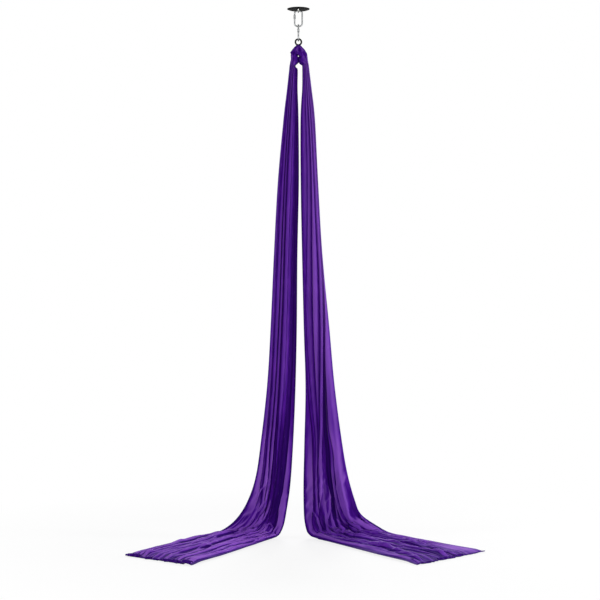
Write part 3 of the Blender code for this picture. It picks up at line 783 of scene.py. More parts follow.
class Band:
    """A curved band between two edges, which a pleated sheet follows."""

    def __init__(self, edges: tuple[np.ndarray, np.ndarray], half_depth: np.ndarray, side: Side,
                 spacing: np.ndarray) -> None:
        """Resamples the edges along the band.

        Args:
            edges: Points of the inner and the outer edge.
            half_depth: Half the band's depth at each point.
            side: Which tail it is for.
            spacing: Places along the band, in metres from its first point.
        """
        middle = (edges[0] + edges[1]) / 2
        reach = np.concatenate([[0.0], np.cumsum(np.linalg.norm(np.diff(middle, axis=0), axis=1))])
        self.length = float(reach[-1])
        self.along = spacing * self.length / spacing[-1]
        self.inner, outer = (self._at(reach, edge) for edge in edges)
        self.half_depth = self._at(reach, half_depth[:, None])[:, 0]
        self.ahead = unit(np.gradient((self.inner + outer) / 2, axis=0))
        self.across = outer - self.inner
        self.width = np.linalg.norm(self.across, axis=1)
        self.front = unit(np.cross(self.ahead, unit(self.across)) * side.value)

    def _at(self, reach: np.ndarray, values: np.ndarray) -> np.ndarray:
        """The values at the band's own places along it.

        Args:
            reach: Metres along at each given value.
            values: Rows of values.

        Returns:
            The rows at the band's places.
        """
        return np.stack([np.interp(self.along, reach, values[:, k]) for k in range(values.shape[1])], axis=1)


def flat_places(grid: np.ndarray, width: float) -> np.ndarray:
    """Where each point of a sheet lay before it was gathered.

    Args:
        grid: Points, rows by columns.
        width: Width of the flat cloth.

    Returns:
        Metres across and along the flat cloth for each point.
    """
    across = travelled(grid)
    across *= width / across[:, -1:]
    rises = np.linalg.norm(np.diff(grid, axis=0), axis=2).mean(axis=1)
    along = np.concatenate([[0.0], np.cumsum(rises)])
    return np.stack([across, np.repeat(along[:, None], grid.shape[1], axis=1)], axis=-1)


def travelled(grid: np.ndarray) -> np.ndarray:
    """Metres along each row of points, from its first."""
    steps = np.linalg.norm(np.diff(grid, axis=1), axis=2)
    return np.concatenate([np.zeros((len(grid), 1)), np.cumsum(steps, axis=1)], axis=1)


def mean_length(grid: np.ndarray, axis: int) -> float:
    """Mean length in metres of the lines that run along one axis of a grid of points."""
    return float(np.linalg.norm(np.diff(grid, axis=axis), axis=2).sum(axis=axis).mean())


def build_sheet(name: str, grid: np.ndarray, rise: np.ndarray, width: float,
                cloth: bpy.types.Material) -> bpy.types.Object:
    """An open sheet of cloth from a grid of points, which rides with the silks.

    Args:
        name: The piece's name.
        grid: Points, rows by columns.
        rise: The painted light and shade at each point, -1 to 1.
        width: Width of the flat cloth.
        cloth: The cloth's material.

    Returns:
        The object.
    """
    rows, columns = grid.shape[:2]
    index = np.arange(rows * columns).reshape(rows, columns)
    quads = np.stack([index[:-1, :-1], index[:-1, 1:], index[1:, 1:], index[1:, :-1]], axis=-1).reshape(-1, 4)
    mesh = bpy.data.meshes.new(name)
    mesh.vertices.add(rows * columns)
    mesh.vertices.foreach_set("co", grid.reshape(-1).astype(np.float32))
    mesh.loops.add(quads.size)
    mesh.loops.foreach_set("vertex_index", quads.reshape(-1).astype(np.int32))
    mesh.polygons.add(len(quads))
    mesh.polygons.foreach_set("loop_start", np.arange(0, quads.size, 4, dtype=np.int32))
    mesh.polygons.foreach_set("use_smooth", np.ones(len(quads), dtype=bool))
    flat = flat_places(grid, width).reshape(-1, 2)[quads.reshape(-1)]
    mesh.uv_layers.new(name=FLAT_LAYER).data.foreach_set("uv", flat.reshape(-1).astype(np.float32))
    mesh.update(calc_edges=True)
    mesh.validate()
    store = mesh.attributes.new(name=PAINTED_LIGHT_LAYER, type="FLOAT", domain="POINT")
    store.data.foreach_set("value", rise.reshape(-1).astype(np.float32))
    mesh.materials.append(cloth)
    piece = bpy.data.objects.new(name, mesh)
    bpy.context.scene.collection.objects.link(piece)
    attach(piece, CLOTH_BODY)
    return piece


# Knots of one fold in front: share of its half width and share of its drop to the sides
FRONT_KNOTS = ((-1.0, 1.0), (-0.7, 0.25), (0.0, 0.0), (0.7, 0.25), (1.0, 1.0))
# Knots of the closed pleats behind it: share of the way to the next fold and depth, where 0 stands
# for the height of the small pleat that hides in the gap
BACK_KNOTS = (
    (0.08, -0.62), (0.25, -1.0), (0.42, -0.62), (0.5, 0.0), (0.58, -0.62), (0.75, -1.0), (0.92, -0.62),
)
# Points placed from each knot on
FRONT_STEPS = (3, 7, 7, 3, 2)
BACK_STEPS = (2, 2, 2, 2, 2, 2, 2)


@dataclass
class Folds:
    """The folds across each row of a gathered band, smooth in front with closed pleats behind them.

    Each table is rows by folds, except groove, which has one number for each row.
    """

    widths: np.ndarray
    heights: np.ndarray
    tilts: np.ndarray
    gap: np.ndarray
    hidden: np.ndarray
    groove: np.ndarray
    edge_depths: Span = (-0.45, -0.4)
    tilt_share: float = 0.4
    crown: float = 0.06
    back_unevenness: float = 0.1

    @property
    def count(self) -> int:
        """How many folds there are."""
        return self.widths.shape[1]

    def profile(self) -> tuple[np.ndarray, np.ndarray]:
        """The cloth's line across the band.

        Returns:
            Share across and depth, -1 at the back to 1 in front, rows by columns.
        """
        rows, folds = self.widths.shape
        shares = self.widths / self.widths.sum(axis=1, keepdims=True)
        middles = np.cumsum(shares, axis=1) - shares / 2
        across, depth, steps = [np.zeros(rows)], [np.full(rows, self.edge_depths[0])], [2]
        for k in range(folds):
            reach = shares[:, k] / 2 * (1.0 - self.gap[:, k])
            for aside, drop in FRONT_KNOTS:
                level = self.heights[:, k] * (1.0 - drop * self.groove)
                leaning = 1.0 + self.tilt_share * self.tilts[:, k] * aside
                across.append(middles[:, k] + aside * reach)
                depth.append(level * leaning + self.crown * (aside == 0.0))
            steps.extend(FRONT_STEPS)
            if k < folds - 1:
                span = middles[:, k + 1] - middles[:, k]
                deep = 1.0 - self.back_unevenness + self.back_unevenness * math.cos(k * 2.1)
                for aside, height in BACK_KNOTS:
                    across.append(middles[:, k] + aside * span)
                    depth.append(self.hidden[:, k] if height == 0.0 else np.full(rows, height * deep))
                steps.extend(BACK_STEPS)
        across.append(np.ones(rows))
        depth.append(np.full(rows, self.edge_depths[1]))
        return dense_line(np.stack(across, axis=1), steps), dense_line(np.stack(depth, axis=1), steps)


@dataclass
class SilkTail:
    """One hanging half of the cloth, pleated, which bends and runs out over the floor.

    A span is a start and an end along the tail, in metres from the hitch. A tone is painted shade
    down to -1, as in a valley, or painted light up to 1, as on a crest. An unevenness is a share for the
    whole tail and one more for its lying part. Past the flat corner, a share across and metres along, the
    cloth lies flat and takes painted light. By default that is past the end of the cloth.
    """

    side: Side
    spread: float
    reach: float
    inner_shares: tuple[Row, ...]
    outer_shares: tuple[Row, ...]
    fold_bounds: tuple[Row, ...]
    fold_heights: tuple[Row, ...]
    fold_tilts: tuple[Row, ...]
    creases: tuple[Crease, ...]
    curls: tuple[Row, ...]
    # Broad painted light and shade across the tail: share across and tone, hanging, at the bend and lying
    hanging_shading: tuple[Row, ...]
    bend_shading: tuple[Row, ...]
    floor_shading: tuple[Row, ...]
    flat_width: float = 1.5
    flat_length: float = 4.1
    depth: float = 58 * MM
    depth_shares: Row = (
        0.7, 0.8, 0.81, 0.82, 0.84, 0.88, 0.94, 1.0, 1.0, 1.0,
        0.95, 0.85, 0.7, 0.55, 0.46, 0.4, 0.36, 0.34, 0.3,
    )
    edge_steps: int = 24
    table_steps: int = 12
    row_spans: tuple[tuple[float, float, int], ...] = (
        (0.0, 0.16, 26), (0.16, 1.9, 84), (1.9, 3.2, 165), (3.2, 4.04, 105),
    )
    shading_blend: Span = (1.7, 2.6)
    bending: Span = (2.3, 2.75)
    landing: Span = (2.75, 3.2)
    lying: Span = (2.98, 3.22)
    crumpled_from: Span = (2.5, 2.85)
    crumpled_to: Span = (3.05, 3.35)
    inner_round: float = 2.0
    outer_round: float = 2.4
    hanging_lean: float = 0.15
    lying_lean: float = -0.7
    thinnest_fold: float = 0.006
    width_unevenness: Row = (0.03, 0.25)
    height_unevenness: Row = (0.1, 0.3)
    tilt_unevenness: Row = (0.15, 0.4)
    groove: float = 0.28
    groove_lost_bending: float = 0.12
    groove_lost_lying: float = 0.14
    slot: float = 1.0 * MM
    flat_corner: Row = (1.5, 9.0)
    # Painted light on the flat corner
    flat_corner_light: float = 0.9
    tension_height: float = 1.2 * MM
    crumple_height: float = 5.0 * MM
    streak_height: float = 17.0 * MM
    cross_height: float = 11.0 * MM
    fleck_height: float = 3.0 * MM
    floor_room: float = 1.4 * MM
    floor_ripple: float = 0.6 * MM
    floor_pull: float = 3.55
    hem_waves: float = 24.0 * MM
    hem_short: float = 8.0 * MM
    least_curl: float = 2.2 * MM
    curl_turn: float = 1.45 * math.pi
    curl_rows: int = 7
    # Painted shade on the rolled hem
    curl_shade: float = -0.9

    def edge(self, shares: tuple[Row, ...]) -> np.ndarray:
        """One edge of the tail as points.

        Args:
            shares: Shares of the spread, the reach and the drop.

        Returns:
            The points, in metres.
        """
        aside, forward, down = np.array(shares).T
        x, y, z = self.side.value * aside * self.spread, -forward * self.reach, TAIL_TOP_Z - down * TAIL_DROP
        return smooth_rows(np.stack([x, y, z], axis=1), self.edge_steps)

    def band(self) -> Band:
        """The band that the tail's folds follow.

        Returns:
            The band, its rows close together where the cloth bends and lies.
        """
        half = smooth_rows(np.array(self.depth_shares)[:, None], self.edge_steps)[:, 0] * self.depth / 2
        spacing = np.unique(np.concatenate([np.linspace(*span) for span in self.row_spans]))
        return Band((self.edge(self.inner_shares), self.edge(self.outer_shares)), half, self.side, spacing)

    def table_at(self, table: tuple[Row, ...], places: np.ndarray) -> np.ndarray:
        """A table of folds at every row of the band.

        Args:
            table: Rows of a place along in metres, then a number for each fold.
            places: Metres along of the band's rows.

        Returns:
            The numbers, rows by folds.
        """
        rows = smooth_rows(np.array(table), self.table_steps)
        return np.stack([np.interp(places, rows[:, 0], rows[:, k]) for k in range(1, rows.shape[1])], axis=1)

    def uneven(self, x: np.ndarray, y: np.ndarray | float, seed: Seed) -> np.ndarray:
        """Smooth noise at places on a plane, different for each tail."""
        return wander(x, y, seed.value + self.side.value)

    def fold_noise(self, along: np.ndarray, folds: int, seed: Seed) -> np.ndarray:
        """Uneven change of each fold along the band.

        Args:
            along: Place along, in noise units.
            folds: How many folds.
            seed: Which noise.

        Returns:
            About -1 to 1, rows by folds.
        """
        gain, apart = 1.6, 3.7
        return np.stack([gain * self.uneven(along, k * apart, seed) for k in range(folds)], axis=1)

    def folds(self, band: Band, bend: np.ndarray, floor: np.ndarray) -> Folds:
        """The tail's folds, uneven along the band.

        Args:
            band: The band that the folds follow.
            bend: How much of each row is at or past the bend.
            floor: How much of each row lies on the floor.

        Returns:
            The folds.
        """
        tables = (self.fold_bounds, self.fold_heights, self.fold_tilts)
        bounds, heights, tilts = (self.table_at(table, band.along) for table in tables)
        slow = self.fold_noise(band.along * 0.9, heights.shape[1], Seed.SLOW_FOLDS)
        quick = self.fold_noise(band.along * 2.6, heights.shape[1], Seed.QUICK_FOLDS)
        shares = np.diff(np.pad(bounds, ((0, 0), (1, 1)), constant_values=(0.0, 1.0)), axis=1)
        slow_back, quick_back = slow[:, ::-1], quick[:, ::-1]
        wide, high, lean = self.width_unevenness, self.height_unevenness, self.tilt_unevenness
        widths = np.maximum(shares * (1.0 + wide[0] * slow + wide[1] * quick * floor), self.thinnest_fold)
        slots = self.slot * (1.0 + 0.5 * quick_back) * (1.0 - 0.9 * floor)
        groove = self.groove - self.groove_lost_bending * bend - self.groove_lost_lying * floor
        return Folds(
            widths=widths,
            heights=heights * (1.0 + high[0] * slow_back + high[1] * quick_back * floor),
            tilts=tilts + lean[0] * slow + lean[1] * quick * floor,
            gap=np.clip(slots / (widths * band.width[:, None]), 0.01, 0.1),
            hidden=0.05 + 0.2 * slow_back,
            groove=groove[:, 0],
        )

    def grid(self, band: Band) -> tuple[np.ndarray, np.ndarray]:
        """The tail's points.

        Args:
            band: The band that the folds follow.

        Returns:
            Points, rows by columns, and the painted light and shade of each, -1 for shade to 1 for light.
        """
        bend, floor = (eased(band.along, *span)[:, None] for span in (self.bending, self.landing))
        folds = self.folds(band, bend, floor)
        place, depth = folds.profile()
        along, width = (np.repeat(row[:, None], place.shape[1], axis=1) for row in (band.along, band.width))
        turned = np.clip(2 * place - 1, -1, 1)
        inner_round = self.inner_round * (1.0 - bend) + self.outer_round * bend
        rounded = (1.0 - np.abs(turned) ** np.where(turned < 0, inner_round, self.outer_round)) ** 0.5
        rounded = np.maximum(rounded, 0.3 - 0.1 * floor)
        lift = band.half_depth[:, None] * rounded * depth
        lean = self.hanging_lean * (1.0 - floor) + self.lying_lean * floor
        inside = 4.0 * np.clip(place, 0, 1) * (1.0 - np.clip(place, 0, 1))
        warp = self.uneven(place * 4.0, along * 2.6, Seed.FOLD_WARP)
        place = place + lean * depth * rounded / folds.count + 0.03 * warp * inside * bend
        pressed = sum(crease.lift(place, along, width) for crease in self.creases)
        lift = lift + pressed * np.clip(0.5 + 0.5 * depth, 0.0, 1.0)
        points = band.inner[:, None] + band.across[:, None] * place[..., None]
        points = points + band.front[:, None] * lift[..., None]
        corner, start = self.flat_corner
        calm = eased(place, corner - 0.05, corner + 0.03) * eased(along, start - 0.15, start + 0.15)
        points, creased = self.wrinkled(points, along, depth, place, 1.0 - 0.9 * calm)
        # Painted shade and highlight from the relief
        rise = self.rise(lift + creased, depth, bend, floor)
        # Broad painted light and shade across the tail
        rise = rise + self.tone(place, along, floor, calm) * (depth > 0.0)
        # Painted shade on the rows of the rolled hem
        rise = np.pad(rise, ((0, self.curl_rows), (0, 0)), constant_values=self.curl_shade)
        return self.hemmed(points, band), rise

    def tone(self, place: np.ndarray, along: np.ndarray, floor: np.ndarray, calm: np.ndarray) -> np.ndarray:
        """The broad painted light and shade across the tail, with painted light on the flat corner.

        Args:
            place: Share across of each point.
            along: Metres along of each.
            floor: How much of each row lies on the floor.
            calm: How much of each point is in the flat corner.

        Returns:
            The tones, rows by columns.
        """
        tables = (self.hanging_shading, self.bend_shading, self.floor_shading)
        hanging, bending, lying = (np.interp(place, *np.array(table).T) for table in tables)
        near = eased(along, *self.shading_blend)
        hanging = hanging * (1.0 - near) + bending * near
        return (hanging * (1.0 - floor) + lying * floor) * (1.0 - calm) + self.flat_corner_light * calm

    def rise(self, lift: np.ndarray, depth: np.ndarray, bend: np.ndarray, floor: np.ndarray) -> np.ndarray:
        """Painted shade and highlight from how far each point stands out of the front of the cloth round it:
        painted shade in valleys, on low folds and in the hidden pleats, painted highlight on crests.

        Args:
            lift: Height of each point over the band, in metres.
            depth: Depth of each in its fold, -1 to 1.
            bend: How much of each row is at or past the bend.
            floor: How much of each row lies on the floor.

        Returns:
            -1 in a valley to 1 on a crest, rows by columns.
        """
        wide, narrow, least = 90, 12, 1e-3
        front = (depth > 0.02).astype(float)
        mean_lift = blurred(lift * front, wide) / np.maximum(blurred(front, wide), least)
        local = (lift - mean_lift) / (MM * (6.0 - 2.6 * bend - 1.6 * floor))
        level = blurred(depth * front, narrow) / np.maximum(blurred(front, narrow), least)
        # Painted shade on the low folds
        low = np.minimum(level - 0.88 + 0.4 * floor, 0.13)
        shown = np.clip(local * (0.3 + 0.7 * bend) + 1.3 * low, -1.0, 1.0)
        # Painted shade in the hidden pleats
        return np.where(front > 0.0, shown, -1.0 + eased(-depth, 0.0, 0.45))

    def wrinkled(self, points: np.ndarray, along: np.ndarray, depth: np.ndarray, place: np.ndarray,
                 rough: np.ndarray) -> tuple[np.ndarray, np.ndarray]:
        """Small wrinkles over the folds, deeper where the cloth bends and lies.

        Args:
            points: The tail's points.
            along: Metres along of each.
            depth: Depth of each in its fold, -1 to 1.
            place: Share across of each.
            rough: How much of the wrinkles each point takes.

        Returns:
            The points moved and how far each was lifted, in metres.
        """
        down, sideways = unit(np.gradient(points, axis=0)), unit(np.gradient(points, axis=1))
        outward = unit(np.cross(down, sideways)) * self.side.value
        column = np.repeat(travelled(points)[len(points) // 2][None], len(points), axis=0)
        slant = along * 6.0 * self.side.value
        warp = 0.7 * self.uneven(place * 3.0, along * 2.4, Seed.LYING_WARP)
        tension = ridged(self.uneven(column * 18.0, along * 0.9, Seed.TENSION))
        shown = np.clip(0.3 + 1.2 * self.uneven(column * 6.0, along * 1.2, Seed.TENSION_SHARE), 0.0, 1.0)
        crumple = ridged(self.uneven(column * 9.0 + slant, along * 5.0, Seed.CRUMPLE))
        streak = ridged(self.uneven(place * 8.0 + warp, along * 1.1, Seed.STREAK))
        cross = ridged(self.uneven(place * 13.0 - along * 2.2 + warp, along * 2.2, Seed.CROSS))
        fleck = ridged(self.uneven(place * 26.0 + along * 3.0, along * 5.0, Seed.FLECK))
        bend = eased(along, *self.crumpled_from) * (1.0 - eased(along, *self.crumpled_to))
        lying = eased(along, *self.lying)
        edges = eased(place, 0.0, 0.07) * (1.0 - eased(place, 0.9, 1.0))
        spread = streak * self.streak_height + cross * self.cross_height + fleck * self.fleck_height
        size = tension * shown * self.tension_height + crumple * bend * edges * self.crumple_height
        size = size + spread * lying * rough * (0.12 + 0.88 * edges)
        size = size * (0.35 + 0.65 * np.clip(depth, 0, 1))
        moved = points + outward * size[..., None]
        ending = 1.0 - 0.7 * eased(along, along.max() - 0.1, along.max())
        height = moved[..., 2] - FLOOR_Z
        height = np.where(lying > 0.99, height * ending, height)
        least = self.floor_room + self.floor_ripple * np.sin(column * 60.0)
        moved[..., 2] = FLOOR_Z + np.maximum(height, least)
        return moved, size

    def hemmed(self, points: np.ndarray, band: Band) -> np.ndarray:
        """The cut end, uneven and rolled up as knitted cloth does.

        Args:
            points: The tail's points.
            band: The band that the folds follow.

        Returns:
            The points with the rolled end added.
        """
        column = travelled(points[-1:])[0] * 9.0
        uneven = self.uneven(column * 1.1, 0.0, Seed.HEM)
        uneven = uneven + 0.5 * wander(column * 3.7, 0.0, Seed.FINE_HEM.value)
        ahead, up = unit(band.ahead[-1] * np.array([1.0, 1.0, 0.0])), np.array([0.0, 0.0, 1.0])
        share = column / column[-1]
        corner = eased(share, 0.0, 0.06) * (1.0 - eased(share, 0.94, 1.0))
        uneven = uneven * corner * self.hem_waves - self.hem_short
        pull = eased(band.along, self.floor_pull, band.along[-1])[:, None] * uneven[None]
        points = points + pull[..., None] * ahead
        radius = np.full(len(share), self.least_curl)
        for place, half_width, size in self.curls:
            near = np.clip(np.abs(share - place) / half_width, 0.0, 1.0)
            radius = np.maximum(radius, size * (1.0 - near**2) ** 0.5)
        turns = np.arange(1, self.curl_rows + 1)[:, None, None] / self.curl_rows * self.curl_turn
        radius = radius[None, :, None]
        rolled = points[-1] + ahead * radius * np.sin(turns) + up * radius * (1.0 - np.cos(turns))
        return np.concatenate([points, rolled], axis=0)

    def build(self, cloth: bpy.types.Material) -> bpy.types.Object:
        """Args:
            cloth: The cloth's material.

        Returns:
            The piece.
        """
        band = self.band()
        grid, rise = self.grid(band)
        word = self.side.name.lower()
        piece = build_sheet(f"{word}_tail_cloth", grid, rise, self.flat_width, cloth)
        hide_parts(f"silk_tail_{word}")
        LOG.info("%s: band %.2f m, %d points", piece.name, band.length, rise.size)
        return piece


LEFT_TAIL = SilkTail(
    side=Side.LEFT, spread=1.05, reach=0.98, inner_round=1.1,
    # Painted light and shade in bands across this tail
    hanging_shading=((0.0, -0.25), (0.2, -0.2), (0.32, 0.05), (1.0, 0.0)),
    bend_shading=((0.0, -0.25), (0.2, -0.2), (0.32, 0.05), (1.0, 0.0)),
    floor_shading=(
        (0.0, -0.2), (0.04, 0.15), (0.3, 0.1), (0.4, -0.25), (0.65, -0.3), (0.96, -0.1), (1.0, -0.4),
    ),
    curls=(
        (0.01, 0.05, 13 * MM), (0.07, 0.04, 10 * MM), (0.25, 0.045, 9 * MM), (0.37, 0.04, 8 * MM),
        (0.46, 0.03, 7 * MM), (0.58, 0.05, 8 * MM), (0.72, 0.04, 5 * MM), (0.9, 0.08, 10 * MM),
        (0.99, 0.03, 6 * MM),
    ),
    inner_shares=(
        (0.016, 0.0, -0.02), (0.0185, 0.0, 0.0), (0.013, 0.0, 0.005), (0.0042, 0.0, 0.0105),
        (0.005, 0.0, 0.05), (-0.001, 0.0, 0.1155), (-0.003, 0.0, 0.2465), (0.006, 0.0, 0.395),
        (0.010, 0.0, 0.555), (0.018, 0.0, 0.68), (0.0325, 0.0, 0.797), (0.052, 0.0, 0.892),
        (0.081, 0.0, 0.9535), (0.108, 0.003, 0.984), (0.134, 0.03, 0.994), (0.19, 0.133, 0.9965),
        (0.305, 0.393, 0.9965), (0.443, 0.694, 0.9965), (0.597, 1.0, 0.9965),
    ),
    outer_shares=(
        (0.042, 0.0, -0.02), (0.0543, 0.0, 0.0), (0.0559, 0.0, 0.005), (0.0576, 0.0, 0.0105),
        (0.07, 0.0, 0.05), (0.093, 0.0, 0.1155), (0.1276, 0.0, 0.2465), (0.1514, 0.0, 0.395),
        (0.1724, 0.0, 0.555), (0.1933, 0.0, 0.674), (0.2286, 0.0, 0.7845), (0.262, 0.0, 0.866),
        (0.3143, 0.0, 0.921), (0.381, -0.005, 0.958), (0.462, -0.01, 0.981), (0.557, 0.005, 0.9915),
        (0.705, 0.15, 0.9955), (0.857, 0.405, 0.9965), (0.995, 0.68, 0.9965),
    ),
    fold_bounds=(
        (0.0, 0.12, 0.25, 0.36, 0.50, 0.56, 0.70, 0.80, 0.90),
        (0.7, 0.13, 0.23, 0.37, 0.53, 0.58, 0.69, 0.80, 0.90),
        (1.4, 0.11, 0.22, 0.37, 0.52, 0.56, 0.68, 0.82, 0.88),
        (2.0, 0.12, 0.26, 0.39, 0.54, 0.59, 0.71, 0.83, 0.87),
        (2.5, 0.13, 0.29, 0.43, 0.50, 0.58, 0.70, 0.79, 0.85),
        (2.81, 0.17, 0.30, 0.43, 0.45, 0.56, 0.66, 0.76, 0.84),
        (2.97, 0.20, 0.30, 0.40, 0.43, 0.54, 0.62, 0.72, 0.81),
        (3.30, 0.12, 0.24, 0.36, 0.47, 0.57, 0.68, 0.79, 0.90),
        (3.60, 0.09, 0.22, 0.31, 0.46, 0.55, 0.70, 0.77, 0.88),
        (4.10, 0.13, 0.22, 0.35, 0.44, 0.58, 0.67, 0.81, 0.90),
    ),
    fold_heights=(
        (0.0, 0.7, 0.75, 0.8, 1.0, 0.8, 1.0, 0.95, 0.8, 0.9),
        (0.55, 0.45, 0.55, 0.85, 1.05, 0.75, 0.95, 1.0, 0.85, 0.9),
        (1.1, 0.35, 0.45, 0.9, 1.1, 0.65, 0.9, 1.0, 0.85, 0.95),
        (1.6, 0.35, 0.4, 0.9, 1.1, 0.55, 0.9, 1.0, 0.8, 1.0),
        (2.1, 0.45, 0.4, 0.85, 1.1, 0.45, 0.9, 1.0, 0.75, 1.05),
        (2.5, 1.0, 0.25, 0.35, 0.8, 0.3, 0.85, 1.0, 0.7, 1.1),
        (2.8, 1.3, 0.0, 0.1, 0.3, 0.3, 0.8, 0.95, 0.7, 1.1),
        (3.0, 1.4, 0.05, 0.1, 0.5, 0.5, 0.9, 0.9, 0.7, 0.6),
        (3.13, 0.6, 0.7, 0.8, 0.7, 0.8, 0.7, 0.9, 0.7, 0.4),
        (3.4, 0.5, 0.6, 0.7, 0.5, 0.7, 0.5, 0.7, 0.5, 0.6),
        (4.1, 0.5, 0.5, 0.6, 0.4, 0.6, 0.4, 0.6, 0.5, 0.6),
    ),
    fold_tilts=(
        (0.0, 0.6, 0.3, 0.4, -0.4, 0.2, -0.6, -0.3, 0.2, -0.5),
        (0.8, 0.9, 0.6, 0.5, -0.5, 0.0, -0.8, -0.4, 0.3, -0.6),
        (1.6, 1.0, 0.8, 0.6, -0.6, 0.0, -0.9, -0.5, 0.3, -0.6),
        (2.4, 0.8, 0.9, 0.8, -0.3, 0.0, -0.9, -0.6, 0.3, -0.8),
        (2.9, -0.3, 0.6, 0.5, 0.4, -0.4, -0.5, -0.6, 0.2, -0.5),
        (3.5, 0.4, -0.6, 0.7, -0.7, 0.6, -0.6, 0.5, -0.5, 0.4),
        (4.1, 0.3, -0.4, 0.5, -0.3, 0.5, -0.4, 0.4, -0.3, 0.3),
    ),
    creases=(
        Crease(((0.64, 2.78), (0.79, 2.86), (0.84, 2.92)), 7 * MM, 8 * MM),
        Crease(((0.60, 2.85), (0.59, 2.90), (0.64, 2.95), (0.70, 3.00), (0.70, 3.05)), 8 * MM, 9 * MM),
        Crease(
            ((0.46, 2.90), (0.46, 2.97), (0.48, 3.02), (0.54, 3.07), (0.61, 3.11), (0.68, 3.13)),
            8 * MM, 11 * MM,
        ),
        Crease(((0.56, 2.76), (0.54, 2.86), (0.52, 2.96), (0.58, 3.03)), 8 * MM, -9 * MM),
        Crease(((0.38, 3.06), (0.29, 3.04), (0.19, 3.06)), 8 * MM, 10 * MM),
        Crease(((0.85, 3.15), (0.68, 3.16), (0.59, 3.11)), 10 * MM, -10 * MM),
        Crease(((0.43, 3.34), (0.55, 3.23), (0.48, 3.19)), 12 * MM, -9 * MM),
        Crease(((0.31, 3.80), (0.38, 3.57), (0.41, 3.40)), 12 * MM, -10 * MM),
        Crease(((0.36, 3.86), (0.43, 3.60), (0.46, 3.42)), 10 * MM, 8 * MM),
        Crease(((0.85, 3.62), (0.86, 3.46), (0.83, 3.35)), 12 * MM, -9 * MM),
        Crease(((0.09, 3.10), (0.03, 3.15), (0.01, 3.16)), 8 * MM, -10 * MM),
    ),
)

